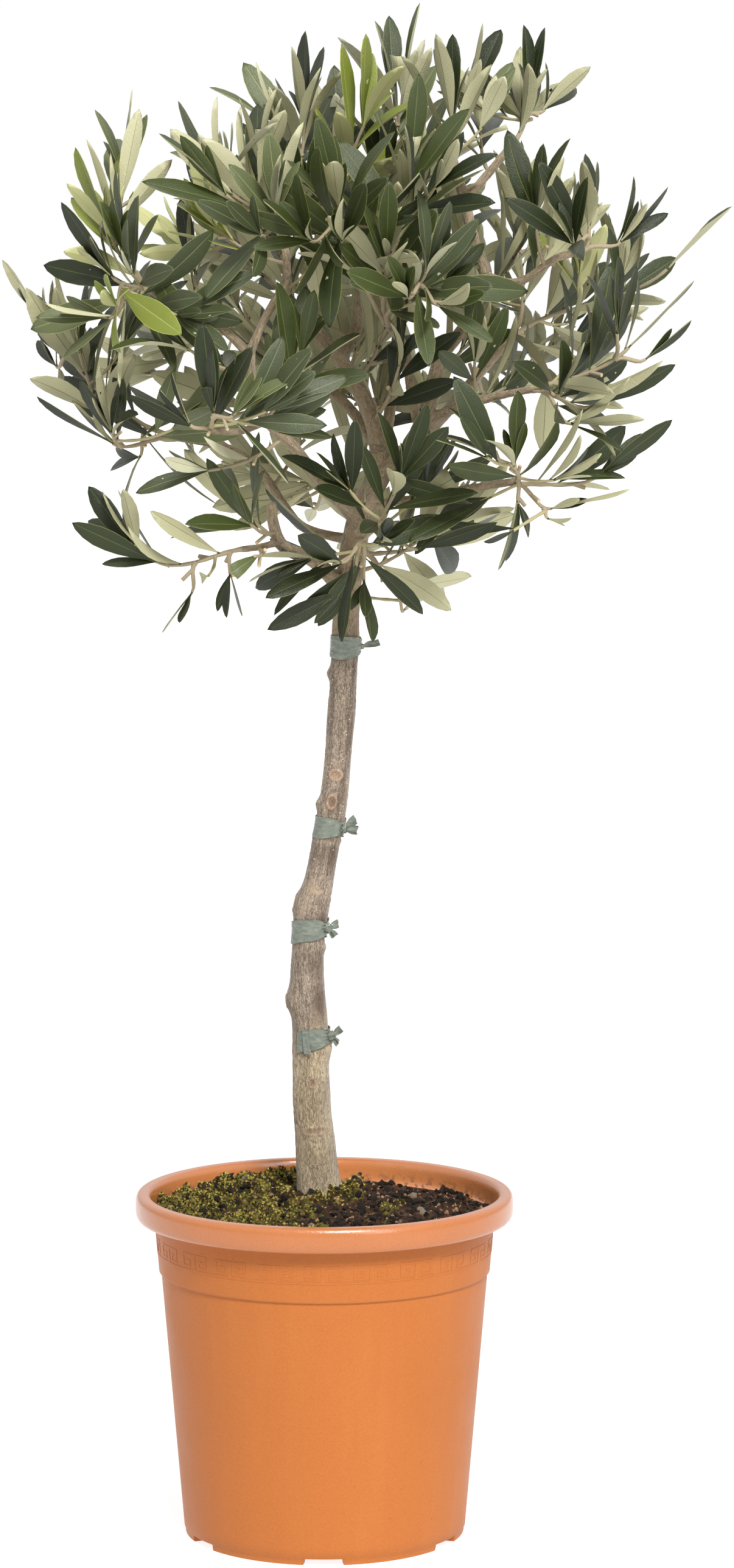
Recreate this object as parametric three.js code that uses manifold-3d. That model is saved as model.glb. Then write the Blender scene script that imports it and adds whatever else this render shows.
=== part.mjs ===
// Potted olive tree: a young standard olive, pruned to a round head, in a round pot.
// Millimetres, +Z up. The origin is the centre of the pot's underside and the front looks along -Y.
import * as THREE from 'three';
import { mergeVertices } from 'three/addons/utils/BufferGeometryUtils.js';
import Module from 'manifold-3d';

const wasm = await Module();
wasm.setup();

// Clearance kept between any two neighbouring solids, and the distance within which corners are one.
const GAP = 0.3;
const WELD = 1e-3;

const POT = {
  sides: 36,
  height: 219,
  rimRadius: 120,
  lipRadius: 110,
  rimUnderside: 202.5,
  bandTop: 202,
  bandTopRadius: 107.8,
  bandFoot: 170,
  bandFootRadius: 105.3,
  bodyTop: 168.5,
  bodyTopRadius: 103.7,
  bodyFoot: 4.5,
  bodyFootRadius: 89.8,
  footRadius: 89,
  footInner: 81.8,
  recess: 5,
  padRadius: 32,
  edge: 1,
  innerTopRadius: 104,
  wall: 2.6,
  floor: 8,
  notches: 6,
  notchWidth: 25,
  notchHeight: 4,
};

const SOIL = {
  edge: 205,
  edgeDrop: 3,
  edgeInset: 1,
  shoulder: 208.5,
  shoulderRadius: 58,
  crown: 210.6,
  crownRadius: 24,
};

// Trunk centre line from the soil to the fork, each entry x, y, z and diameter.
const TRUNK = {
  sides: 12,
  steps: 20,
  path: [
    [-3.1, 30, 210.9, 27.5],
    [-7.8, 26, 264, 24.4],
    [-9.4, 22, 320, 23.2],
    [-10.7, 18, 371, 20.9],
    [-3.2, 14.5, 416, 18.4],
    [6.6, 10, 473, 17.6],
    [12.8, 6, 556, 17.4],
    [15.4, 4, 606, 17],
    [24, 4, 651, 16.2],
    [35, 4, 674, 15.4],
  ],
  flare: 0.14,
  flareHeight: 12,
  // Old pruning knots: height, bearing in degrees from +X towards +Y, swelling, and half height.
  knots: [
    { z: 339, bearing: 186, swell: 3.8, reach: 8 },
    { z: 399, bearing: 174, swell: 4.2, reach: 11 },
    { z: 571, bearing: 300, swell: 1.6, reach: 8 },
  ],
};

// Flat ties round the trunk: height of the middle, width of the tape, and where the knot sits.
const TIE = { thick: 1.1, knot: [10, 5, 11], knotSunk: 0.5, knotDrop: 1 };
const TIES = [
  { name: 'tie_1', z: 565.5, width: 14, knotBearing: -8 },
  { name: 'tie_2', z: 451, width: 13, knotBearing: -35 },
  { name: 'tie_3', z: 384, width: 14.5, knotBearing: -30 },
  { name: 'tie_4', z: 313, width: 13.5, knotBearing: -30 },
];

// Each bough: the points its centre line passes, and its diameter at the foot and at the end.
const BOUGHS = [
  {
    name: 'fork_left',
    from: 13,
    to: 8,
    path: [
      [35, 4, 674], [33, 3, 700], [20, 2, 730],
      [7, 4, 749], [-14, 6, 771],
    ],
  },
  {
    name: 'fork_right',
    from: 12,
    to: 9,
    path: [
      [35, 4, 674], [60, -6, 694], [65, -12, 717],
      [73, -18, 750],
    ],
  },
  { name: 'left_upright', from: 8.5, to: 6.6, path: [[9, 4, 746], [19, 20, 760], [23, 32, 790]] },
  {
    name: 'right_upright',
    from: 8,
    to: 6.6,
    path: [
      [73, -18, 748], [88, -21, 767], [100, -30, 798],
      [94, -32, 815], [86, -35, 846], [79, -36, 869],
    ],
  },
  {
    name: 'right_upright_arm',
    from: 5.5,
    to: 5,
    path: [
      [87, -35, 843], [103, -30, 861], [118, -26, 879],
    ],
  },
  {
    name: 'right_upper',
    from: 5.5,
    to: 5,
    path: [
      [99, -30, 797], [119, -38, 793], [144, -45, 808],
      [160, -48, 812],
    ],
  },
  {
    name: 'centre_front',
    from: 6.5,
    to: 5.8,
    path: [
      [61, -7, 697], [55, 6, 722], [51, -2, 750],
      [39, -32, 769],
    ],
  },
  {
    name: 'right_reach',
    from: 7,
    to: 5,
    path: [
      [63, -9, 702], [78, -14, 714], [103, -28, 722],
      [130, -44, 728],
    ],
  },
  {
    name: 'right_low',
    from: 6,
    to: 5,
    path: [
      [25, 4, 653], [61, -12, 660], [86, -25, 665],
      [119, -38, 671],
    ],
  },
  {
    name: 'left_low',
    from: 11,
    to: 6.6,
    path: [
      [14, 5, 600], [-6, -6, 620], [-26, -26, 631],
      [-31, -32, 645], [-32, -34, 658],
    ],
  },
  {
    name: 'left_low_arm',
    from: 4.6,
    to: 4.2,
    path: [
      [-27, -27, 633], [-40, -33, 630], [-51, -38, 629],
    ],
  },
  {
    name: 'left_back',
    from: 6.5,
    to: 5.2,
    path: [
      [19, 5, 632], [-14, 22, 640], [-26, 28, 654],
      [-42, 28, 677], [-62, 14, 690], [-96, -8, 698],
    ],
  },
  {
    name: 'left_front',
    from: 8,
    to: 6.6,
    path: [
      [21, 3, 644], [-1, -24, 670], [-18, -44, 692],
      [-37, -62, 713], [-44, -70, 738], [-44, -72, 752],
    ],
  },
  {
    name: 'left_front_up',
    from: 5.6,
    to: 5,
    path: [
      [-44, -72, 751], [-35, -74, 771], [-22, -72, 796],
      [-23, -68, 818],
    ],
  },
  {
    name: 'left_front_arm',
    from: 5.6,
    to: 5,
    path: [
      [-44, -71, 749], [-61, -70, 765], [-88, -60, 779],
      [-107, -55, 789],
    ],
  },
  {
    name: 'left_front_low',
    from: 5,
    to: 4.6,
    path: [
      [-34, -59, 709], [-50, -80, 703], [-66, -96, 704],
    ],
  },
  {
    name: 'back_left',
    from: 8,
    to: 5.6,
    path: [
      [34, 3, 690], [15, 35, 715], [-18, 68, 742],
      [-45, 90, 762],
    ],
  },
  {
    name: 'back_right',
    from: 8,
    to: 6.2,
    path: [
      [58, -5, 692], [80, 28, 715], [104, 62, 742],
      [122, 84, 760],
    ],
  },
  {
    name: 'back_top',
    from: 8,
    to: 6,
    path: [
      [36, 5, 678], [42, 42, 718], [46, 78, 765],
      [46, 98, 800],
    ],
  },
  {
    name: 'back_low',
    from: 6.5,
    to: 5.2,
    path: [
      [20, 5, 638], [14, 38, 650], [6, 68, 660],
      [2, 90, 668],
    ],
  },
];
const BOUGH = { sides: 7, step: 24, collar: 0.12, collarFade: 10 };

// Each mass of foliage grows from one bough's end, or from the trunk, to its furthest leaf tip.
// The side tips are the other points of the crown's outline that its shoots reach.
const MASSES = [
  { name: 'leaves_top', bough: 'left_upright', tip: [58, 25, 967], sides: [[41, 45, 960]] },
  { name: 'leaves_top_mid', bough: 'left_upright', tip: [26, -20, 945], sides: [[6, 72, 930]] },
  { name: 'leaves_top_left', bough: 'fork_left', tip: [-12, 20, 949], sides: [[-42, 0, 929]] },
  { name: 'leaves_upper_left', bough: 'fork_left', tip: [-89, 50, 875], sides: [[-125, 62, 844]] },
  { name: 'leaves_right_top', bough: 'right_upright', tip: [80, -15, 945], sides: [[99, -5, 952]] },
  {
    name: 'leaves_right_crest',
    bough: 'right_upright_arm',
    tip: [136, -20, 949],
    sides: [[152, -10, 920], [121, 40, 928]],
  },
  {
    name: 'leaves_right_upper',
    bough: 'right_upper',
    tip: [168, -60, 866],
    sides: [[212, -50, 850], [135, -110, 841]],
  },
  { name: 'leaves_right_far', bough: 'back_right', tip: [257, 35, 840], sides: [[192, 70, 818]] },
  {
    name: 'leaves_right_reach',
    bough: 'right_reach',
    tip: [226, -70, 794],
    sides: [[226, -45, 770], [179, -100, 809]],
  },
  {
    name: 'leaves_right_mid',
    bough: 'right_reach',
    tip: [218, -30, 742],
    sides: [[196, -75, 710], [157, -110, 758]],
  },
  {
    name: 'leaves_right_low',
    bough: 'right_low',
    tip: [188, -60, 668],
    sides: [[213, -70, 710], [149, -50, 644]],
  },
  {
    name: 'leaves_right_under',
    bough: 'right_low',
    tip: [118, -90, 728],
    sides: [[89, -60, 714], [127, -20, 635]],
  },
  { name: 'leaves_centre_top', bough: 'centre_front', tip: [59, -60, 919], sides: [[40, -120, 852]] },
  {
    name: 'leaves_centre_left',
    bough: 'centre_front',
    tip: [-3, -95, 892],
    sides: [[-35, -140, 841], [12, -150, 841]],
  },
  {
    name: 'leaves_centre_right',
    bough: 'centre_front',
    tip: [76, -130, 841],
    sides: [[40, -150, 808], [98, -120, 787]],
  },
  { name: 'leaves_left_crest', bough: 'left_front_up', tip: [-90, -20, 904], sides: [[-55, -60, 890]] },
  { name: 'leaves_left_mid', bough: 'left_front_up', tip: [-32, -95, 883], sides: [[-57, -130, 841]] },
  {
    name: 'leaves_left_top',
    bough: 'left_front_arm',
    tip: [-150, -55, 875],
    sides: [[-118, -30, 911]],
  },
  {
    name: 'leaves_left_front',
    bough: 'left_front_arm',
    tip: [-158, -80, 841],
    sides: [[-132, -120, 787], [-175, -60, 772]],
  },
  {
    name: 'leaves_left_fill',
    bough: 'left_front_low',
    tip: [-66, -135, 753],
    sides: [[-98, -110, 729], [-36, -140, 737]],
  },
  {
    name: 'leaves_left_reach',
    bough: 'left_back',
    tip: [-176, -40, 724],
    sides: [[-167, -10, 806], [-137, -70, 743]],
  },
  {
    name: 'leaves_left_far',
    bough: 'left_back',
    tip: [-202, 25, 807],
    sides: [[-183, 60, 756], [-136, 30, 676]],
  },
  {
    name: 'leaves_left_low',
    bough: 'left_low_arm',
    tip: [-154, -60, 646],
    sides: [[-145, -40, 668], [-99, -70, 580], [-60, -55, 588]],
  },
  {
    name: 'leaves_front_low',
    bough: 'trunk',
    height: 632,
    bearing: -76,
    tip: [63, -90, 721],
    sides: [[30, -60, 573], [-15, -80, 640], [106, -75, 647]],
  },
  { name: 'leaves_back_right', bough: 'back_right', tip: [159, 190, 755], sides: [[202, 150, 723]] },
  { name: 'leaves_back_crest', bough: 'back_right', tip: [128, 130, 885], sides: [[176, 120, 838]] },
  { name: 'leaves_back_left', bough: 'back_left', tip: [-134, 150, 787], sides: [[-167, 110, 740]] },
  { name: 'leaves_back_rise', bough: 'back_left', tip: [-82, 150, 858], sides: [[-45, 130, 897]] },
  {
    name: 'leaves_back_top',
    bough: 'back_top',
    tip: [32, 151, 912],
    sides: [[81, 120, 916], [-14, 150, 890]],
  },
  { name: 'leaves_back_mid', bough: 'back_top', tip: [10, 210, 787], sides: [[66, 200, 799]] },
  {
    name: 'leaves_back_low',
    bough: 'back_low',
    tip: [-23, 180, 658],
    sides: [[34, 190, 666], [-60, 130, 690]],
  },
  {
    name: 'leaves_back_under',
    bough: 'trunk',
    height: 625,
    bearing: 44,
    tip: [94, 70, 606],
    sides: [[61, 100, 596], [110, 140, 668]],
  },
];

// Twigs are three-sided. A leaf is a long diamond, flat above and keeled below along its midrib.
const TWIG = { base: 1.7, shootBase: 1.4, end: 1, segment: 44, rootSpread: 1.6, wideSpread: 2.3 };
const LEAF = { length: 65, width: 21, thick: 1.6, widest: 0.52, bareRoot: 0.16 };

// How the crown grows. Shares run along a twig from its foot to its end, and angles of lean are
// in degrees from the twig.
const GROWTH = {
  leaves: 430,
  pairSpacing: 17,
  firstPair: 0.15,
  bareStem: 0.16,
  endShare: 0.985,
  endTilt: 8,
  endSize: 0.95,
  youngSize: 0.85,
  endLean: 26,
  footLean: 58,
  fullLeanPair: 3,
  uprightness: 0.28,
  upperLift: 0.5,
  upperTurn: -0.2,
  endRise: 0.3,
  bow: 0.45,
  bows: 8,
  endLeaves: 5,
  lastShoot: 0.84,
  shootStep: 0.04,
  shootForward: 0.5,
  leastSpurs: 3,
  spurSpacing: 24,
  spurLength: 32,
  spurEnd: 0.6,
  spurForward: 0.15,
  spurCurl: 0.3,
};

// How far each draw may stray, first at the first try and then more for each further one.
const STRAY = {
  tries: 5,
  lean: [4, 6],
  angle: [0.15, 0.25],
  roll: [0.6, 0.3],
  leafLength: 0.1,
  spurPlace: 0.5,
  spurAngle: 0.5,
  spurLength: 0.3,
};

// A stem's foot stands this many gaps off its bough's end, or off the flats of the trunk.
const FOOT_OFF_BOUGH = 1.15;
const FOOT_OFF_TRUNK = 1.5;

// The most that a twig's last stretch gives up to the leaf at its end, as shares.
const END_LEAF = { ofLeaf: 0.96, ofSpan: 0.7 };

// Sizes tried in turn for a mass whose corners would otherwise fall together.
const FULLNESS = [1, 1.02, 1.04, 1.06, 1.08];

const UP = new THREE.Vector3(0, 0, 1);
const GOLDEN_ANGLE = THREE.MathUtils.degToRad(137.508);

const COLOURS = {
  pot: { color: '#cd865e', roughness: 0.5 },
  soil: { color: '#54452f', roughness: 0.95 },
  bark: { color: '#8f7f70', roughness: 0.85 },
  tie: { color: '#81877b', roughness: 0.45 },
  leaf: { color: '#69704a', roughness: 0.5 },
};

// Solids

function toSolid(geometry) {
  geometry.deleteAttribute('normal');
  geometry.deleteAttribute('uv');
  const merged = mergeVertices(geometry, WELD);
  return new wasm.Manifold(new wasm.Mesh({
    numProp: 3,
    vertProperties: Float32Array.from(merged.attributes.position.array),
    triVerts: Uint32Array.from(merged.index.array),
  }));
}

function toGeometry(solid) {
  const mesh = solid.getMesh();
  const geometry = new THREE.BufferGeometry();
  geometry.setAttribute('position', new THREE.BufferAttribute(mesh.vertProperties, 3));
  geometry.setIndex(new THREE.BufferAttribute(mesh.triVerts, 1));
  return geometry;
}

function joined(solids) {
  return solids.slice(1).reduce((whole, next) => whole.add(next), solids[0]);
}

// The largest piece of a solid once its corners are welded, without loose scraps or sealed hollows.
function mainBody(solid) {
  return toSolid(toGeometry(solid)).decompose().reduce((a, b) => (b.volume() > a.volume() ? b : a));
}

// Whether each edge joins just two faces, also where corners lie closer than the weld distance.
function isSound(solid) {
  const settled = toGeometry(toSolid(toGeometry(solid)));
  const corners = mergeVertices(settled, WELD / 10).index.array;
  const uses = new Map();
  for (let i = 0; i < corners.length; i += 3) {
    const face = Array.from(corners.slice(i, i + 3));
    if (new Set(face).size < 3) continue;
    face.forEach((a, k) => {
      const b = face[(k + 1) % 3];
      const edge = `${Math.min(a, b)} ${Math.max(a, b)}`;
      uses.set(edge, (uses.get(edge) ?? 0) + 1);
    });
  }
  return [...uses.values()].every((count) => count === 2);
}

function box(size, place, turn = 0) {
  const geometry = new THREE.BoxGeometry(...size);
  geometry.rotateZ(turn);
  geometry.translate(...place);
  return toSolid(geometry);
}

function turned(profile, sides) {
  const points = profile.map(([radius, height]) => new THREE.Vector2(radius, height));
  const geometry = new THREE.LatheGeometry(points, sides);
  geometry.rotateX(Math.PI / 2);
  return toSolid(geometry);
}

// A rod of the given number of sides, bent along a curve. radiusAt(share, bearing) is its radius,
// and each end is carried on by the given length.
function bentRod(curve, radiusAt, sides, steps, further = 0) {
  const geometry = new THREE.CylinderGeometry(1, 1, 1, sides, steps);
  const frames = curve.computeFrenetFrames(steps, false);
  const place = geometry.attributes.position;
  for (let i = 0; i < place.count; i += 1) {
    const ring = Math.round((place.getY(i) + 0.5) * steps);
    const across = new THREE.Vector3()
      .addScaledVector(frames.binormals[ring], place.getX(i))
      .addScaledVector(frames.normals[ring], place.getZ(i));
    const bearing = Math.atan2(across.y, across.x);
    const point = curve.getPointAt(ring / steps).addScaledVector(across, radiusAt(ring / steps, bearing));
    if (ring === 0) point.addScaledVector(curve.getTangentAt(0), -further);
    if (ring === steps) point.addScaledVector(curve.getTangentAt(1), further);
    place.setXYZ(i, point.x, point.y, point.z);
  }
  return geometry;
}

function smoothCurve(points) {
  const through = points.map(([x, y, z]) => new THREE.Vector3(x, y, z));
  return new THREE.CatmullRomCurve3(through, false, 'centripetal');
}

// Pot and soil

function innerRadius(height) {
  const share = THREE.MathUtils.clamp((height - POT.bodyFoot) / (POT.bandTop - POT.bodyFoot), 0, 1);
  return THREE.MathUtils.lerp(POT.bodyFootRadius - POT.wall, POT.innerTopRadius, share);
}

function rimRoll() {
  const middle = (POT.rimRadius + POT.lipRadius) / 2;
  const halfWidth = (POT.rimRadius - POT.lipRadius) / 2;
  const halfHeight = (POT.height - POT.rimUnderside) / 2;
  const points = [];
  for (let eighth = -2; eighth <= 4; eighth += 1) {
    const angle = eighth * Math.PI / 4;
    points.push([
      middle + halfWidth * Math.cos(angle),
      POT.rimUnderside + halfHeight * (1 + Math.sin(angle)),
    ]);
  }
  return points;
}

function makePot() {
  const profile = [
    [0, 0],
    [POT.padRadius, 0],
    [POT.padRadius + POT.edge, POT.recess],
    [POT.footInner - POT.edge, POT.recess],
    [POT.footInner, 0],
    [POT.footRadius, 0],
    [POT.bodyFootRadius, POT.bodyFoot],
    [POT.bodyTopRadius, POT.bodyTop],
    [POT.bandFootRadius, POT.bandFoot],
    [POT.bandTopRadius, POT.bandTop],
    ...rimRoll(),
    [innerRadius(POT.bandTop), POT.bandTop],
    [innerRadius(POT.floor), POT.floor],
    [0, POT.floor],
  ];
  let pot = turned(profile, POT.sides);
  const depth = 2 * (POT.bodyFootRadius - POT.footInner);
  for (let i = 0; i < POT.notches; i += 1) {
    const bearing = -Math.PI / 2 + (i * 2 * Math.PI) / POT.notches;
    const place = [
      POT.footRadius * Math.cos(bearing),
      POT.footRadius * Math.sin(bearing),
      0,
    ];
    pot = pot.subtract(box([depth, POT.notchWidth, 2 * POT.notchHeight], place, bearing));
  }
  return pot;
}

function makeSoil() {
  const foot = POT.floor + GAP;
  return turned([
    [0, foot],
    [innerRadius(foot) - GAP, foot],
    [innerRadius(POT.bandTop) - 2 * GAP, SOIL.edge - SOIL.edgeDrop],
    [innerRadius(POT.bandTop) - 2 * GAP - SOIL.edgeInset, SOIL.edge],
    [SOIL.shoulderRadius, SOIL.shoulder],
    [SOIL.crownRadius, SOIL.crown],
    [0, SOIL.crown],
  ], POT.sides);
}

// Trunk, ties and boughs

const trunkCurve = smoothCurve(TRUNK.path);

function trunkRadius(height, bearing) {
  const path = TRUNK.path;
  let i = 0;
  while (i < path.length - 2 && height > path[i + 1][2]) i += 1;
  const share = THREE.MathUtils.clamp((height - path[i][2]) / (path[i + 1][2] - path[i][2]), 0, 1);
  let radius = THREE.MathUtils.lerp(path[i][3], path[i + 1][3], share) / 2;
  radius *= 1 + TRUNK.flare * Math.exp(-(height - path[0][2]) / TRUNK.flareHeight);
  for (const knot of TRUNK.knots) {
    const near = Math.exp(-(((height - knot.z) / knot.reach) ** 2));
    const facing = Math.max(0, Math.cos(bearing - THREE.MathUtils.degToRad(knot.bearing)));
    radius += knot.swell * near * facing;
  }
  return radius;
}

function makeTrunk(extra = 0) {
  const radiusAt = (share, bearing) => trunkRadius(trunkCurve.getPointAt(share).z, bearing) + extra;
  const geometry = bentRod(trunkCurve, radiusAt, TRUNK.sides, TRUNK.steps, extra);
  const place = geometry.attributes.position;
  const ground = TRUNK.path[0][2];
  for (let i = 0; i < place.count; i += 1) {
    if (place.getZ(i) < ground + TRUNK.flareHeight / 2) place.setZ(i, ground);
  }
  return toSolid(geometry);
}

function trunkAt(height) {
  const closeEnough = 1e-4;
  let low = 0;
  let high = 1;
  while (high - low > closeEnough) {
    const middle = (low + high) / 2;
    if (trunkCurve.getPointAt(middle).z < height) low = middle;
    else high = middle;
  }
  return trunkCurve.getPointAt(low);
}

function makeTie({ z, width, knotBearing }) {
  const centre = trunkAt(z);
  const acrossTrunk = 4 * TRUNK.path[0][3];
  const slab = box([acrossTrunk, acrossTrunk, width], [centre.x, centre.y, z]);
  const bearing = THREE.MathUtils.degToRad(knotBearing);
  const out = trunkRadius(z, bearing) + TIE.knot[0] / 2 - TIE.knotSunk;
  const knotPlace = [
    centre.x + out * Math.cos(bearing),
    centre.y + out * Math.sin(bearing),
    z - TIE.knotDrop,
  ];
  const tie = makeTrunk(TIE.thick + GAP)
    .intersect(slab)
    .add(box(TIE.knot, knotPlace, bearing))
    .subtract(makeTrunk(GAP));
  return mainBody(tie);
}

function boughRadius(bough, share) {
  const collar = BOUGH.collar * Math.exp(-share * BOUGH.collarFade);
  return (THREE.MathUtils.lerp(bough.from, bough.to, share) / 2) * (1 + collar);
}

function makeBough(bough, extra = 0) {
  const steps = Math.max(3, Math.round(bough.curve.getLength() / BOUGH.step));
  const radiusAt = (share) => boughRadius(bough, share) + extra;
  return toSolid(bentRod(bough.curve, radiusAt, BOUGH.sides, steps, extra));
}

for (const bough of BOUGHS) bough.curve = smoothCurve(bough.path);

// Clearance test between convex bodies: two of them are apart if their shadows on some
// direction are, taken over the directions of their faces and of their pairs of edges.

function convexBody(points, faces, from, to, radius) {
  const normals = faces.map(([a, b, c]) => new THREE.Vector3()
    .subVectors(points[b], points[a])
    .cross(new THREE.Vector3().subVectors(points[c], points[a]))
    .normalize());
  const edges = [];
  for (const face of faces) {
    face.forEach((a, i) => {
      const b = face[(i + 1) % face.length];
      if (a < b) edges.push(new THREE.Vector3().subVectors(points[b], points[a]).normalize());
    });
  }
  return { points, normals, edges, from, to, radius };
}

function shadow(points, direction) {
  let low = Infinity;
  let high = -Infinity;
  for (const point of points) {
    const reach = point.dot(direction);
    low = Math.min(low, reach);
    high = Math.max(high, reach);
  }
  return [low, high];
}

function apartAlong(a, b, direction) {
  const [lowA, highA] = shadow(a.points, direction);
  const [lowB, highB] = shadow(b.points, direction);
  return lowA - highB > GAP || lowB - highA > GAP;
}

const PARALLEL = 1e-6;

function nearestGap(a, b) {
  const p = new THREE.Vector3();
  const q = new THREE.Vector3();
  let least = Infinity;
  const lineA = new THREE.Line3(a.from, a.to);
  const lineB = new THREE.Line3(b.from, b.to);
  for (const end of [b.from, b.to]) {
    least = Math.min(least, lineA.closestPointToPoint(end, true, p).distanceTo(end));
  }
  for (const end of [a.from, a.to]) {
    least = Math.min(least, lineB.closestPointToPoint(end, true, q).distanceTo(end));
  }
  const u = lineA.delta(new THREE.Vector3());
  const v = lineB.delta(new THREE.Vector3());
  const w = new THREE.Vector3().subVectors(a.from, b.from);
  const cross = u.lengthSq() * v.lengthSq() - u.dot(v) ** 2;
  if (cross > PARALLEL) {
    const s = (u.dot(v) * v.dot(w) - v.lengthSq() * u.dot(w)) / cross;
    const t = (u.lengthSq() * v.dot(w) - u.dot(v) * u.dot(w)) / cross;
    if (s > 0 && s < 1 && t > 0 && t < 1) {
      least = Math.min(least, lineA.at(s, p).distanceTo(lineB.at(t, q)));
    }
  }
  return least;
}

function clear(a, b) {
  if (nearestGap(a, b) > a.radius + b.radius + GAP) return true;
  for (const direction of a.normals) if (apartAlong(a, b, direction)) return true;
  for (const direction of b.normals) if (apartAlong(a, b, direction)) return true;
  const direction = new THREE.Vector3();
  for (const edgeA of a.edges) {
    for (const edgeB of b.edges) {
      direction.crossVectors(edgeA, edgeB);
      if (direction.lengthSq() < PARALLEL) continue;
      if (apartAlong(a, b, direction.normalize())) return true;
    }
  }
  return false;
}

// A three-sided rod this much larger stands round all but the corners of round wood.
const WOOD_ROUND = 1.45;

// A direction that no twig or bough runs along, from which the sides of a rod are set out.
const OBLIQUE = new THREE.Vector3(0.31, 0.87, 0.39);

const ROD_FACES = [[0, 1, 2], [3, 5, 4], [0, 3, 4], [1, 4, 5], [2, 5, 3], [0, 4, 1], [1, 5, 2], [2, 3, 0]];

// A straight stretch of twig or bough, as the three-sided rod that holds it.
function rodBody(from, to, radiusFrom, radiusTo, around) {
  const along = new THREE.Vector3().subVectors(to, from).normalize();
  const side = OBLIQUE.clone().cross(along).normalize();
  const face = new THREE.Vector3().crossVectors(along, side);
  const points = [];
  for (const [end, radius] of [[from, radiusFrom], [to, radiusTo]]) {
    for (let i = 0; i < 3; i += 1) {
      const angle = (i * 2 * Math.PI) / 3;
      points.push(end.clone()
        .addScaledVector(side, radius * around * Math.cos(angle))
        .addScaledVector(face, radius * around * Math.sin(angle)));
    }
  }
  return convexBody(points, ROD_FACES, from, to, Math.max(radiusFrom, radiusTo) * around);
}

function rodBodies(curve, radiusAt, steps, around) {
  const bodies = [];
  for (let i = 0; i < steps; i += 1) {
    bodies.push(rodBody(
      curve.getPointAt(i / steps),
      curve.getPointAt((i + 1) / steps),
      radiusAt(i / steps),
      radiusAt((i + 1) / steps),
      around,
    ));
  }
  return bodies;
}

const LEAF_FACES = [[0, 1, 2], [0, 2, 3], [0, 3, 1], [4, 2, 1], [4, 3, 2], [4, 1, 3]];

// The corners of a leaf: root, right edge, left edge, keel, tip.
function leafPoints({ root, along, side, length }, start, thicker = 1) {
  const face = new THREE.Vector3().crossVectors(side, along);
  const middle = root.clone().addScaledVector(along, length * LEAF.widest);
  const halfWidth = (length / LEAF.length) * LEAF.width / 2;
  return [
    root.clone().addScaledVector(along, start),
    middle.clone().addScaledVector(side, halfWidth),
    middle.clone().addScaledVector(side, -halfWidth),
    middle.clone().addScaledVector(face, -LEAF.thick * thicker),
    root.clone().addScaledVector(along, length),
  ];
}

function leafBody(leaf, start) {
  const points = leafPoints(leaf, start);
  return convexBody(points, LEAF_FACES, points[0], points[4], LEAF.width / 2);
}

// Growth

// A seeded row of even draws from 0 to 1, made by a linear congruence.
const DRAW = { spread: 2654435761, factor: 1664525, shift: 1013904223, range: 2 ** 32 };

function drawer(seed) {
  let state = Math.imul(seed + 1, DRAW.spread) >>> 0;
  return () => {
    state = (Math.imul(state, DRAW.factor) + DRAW.shift) >>> 0;
    return state / DRAW.range;
  };
}

function vary(draw, spread) {
  return (draw() * 2 - 1) * spread;
}

function makeTwig(points, base, mass) {
  const curve = new THREE.CubicBezierCurve3(...points);
  const steps = Math.max(1, Math.round(curve.getLength() / TWIG.segment));
  const radiusAt = (share) => THREE.MathUtils.lerp(base, TWIG.end, share);
  return { curve, steps, radiusAt, mass, bodies: rodBodies(curve, radiusAt, steps, 1) };
}

// A point on a twig's axis, on the straight stretches that the twig is built of.
function onTwig(twig, share) {
  const stretch = Math.min(Math.floor(share * twig.steps), twig.steps - 1);
  const { from, to } = twig.bodies[stretch];
  return from.clone().lerp(to, share * twig.steps - stretch);
}

// A twig from a root to a leaf tip: it leaves along its start direction and ends rising a little.
// bend is 0 for the plain arch, and from 1 on for arches that bow out to each side in turn.
function reachingTwig(root, start, tip, base, mass, bend) {
  const span = new THREE.Vector3().subVectors(tip, root);
  const end = span.clone().normalize().addScaledVector(UP, GROWTH.endRise).normalize();
  const leafRoom = Math.min(LEAF.length * END_LEAF.ofLeaf, span.length() * END_LEAF.ofSpan);
  const last = tip.clone().addScaledVector(end, -leafRoom);
  const third = new THREE.Vector3().subVectors(last, root).length() / 3;
  const bow = aroundAxis(span.normalize(), (bend * 2 * Math.PI) / GROWTH.bows);
  bow.multiplyScalar(bend ? third * GROWTH.bow : 0);
  return makeTwig([
    root,
    root.clone().addScaledVector(start, third).add(bow),
    last.clone().addScaledVector(end, -third).add(bow),
    last,
  ], base, mass);
}

// Where on a stem a shoot to the tip may leave it, the best place first: near, and turned forward.
function leavingShares(stem, tip) {
  const places = [];
  for (let share = GROWTH.bareStem; share <= GROWTH.lastShoot; share += GROWTH.shootStep) {
    const way = new THREE.Vector3().subVectors(tip, onTwig(stem, share));
    const forward = way.dot(stem.curve.getTangentAt(share));
    places.push({ share, cost: way.length() - GROWTH.shootForward * forward });
  }
  return places.sort((a, b) => a.cost - b.cost).map((place) => place.share);
}

// The direction square to an axis at an angle round it, measured from the level.
function aroundAxis(axis, angle) {
  const nearlyUpright = 0.95;
  const reference = Math.abs(axis.z) > nearlyUpright ? new THREE.Vector3(0, 1, 0) : UP;
  const side = new THREE.Vector3().crossVectors(reference, axis).normalize();
  return side.applyAxisAngle(axis, angle);
}

function sideTwig(stem, share, tip, mass) {
  const root = onTwig(stem, share);
  const start = new THREE.Vector3().subVectors(tip, root).normalize();
  start.addScaledVector(stem.curve.getTangentAt(share), GROWTH.shootForward).normalize();
  return reachingTwig(root, start, tip, TWIG.shootBase, mass, 0);
}

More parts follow.
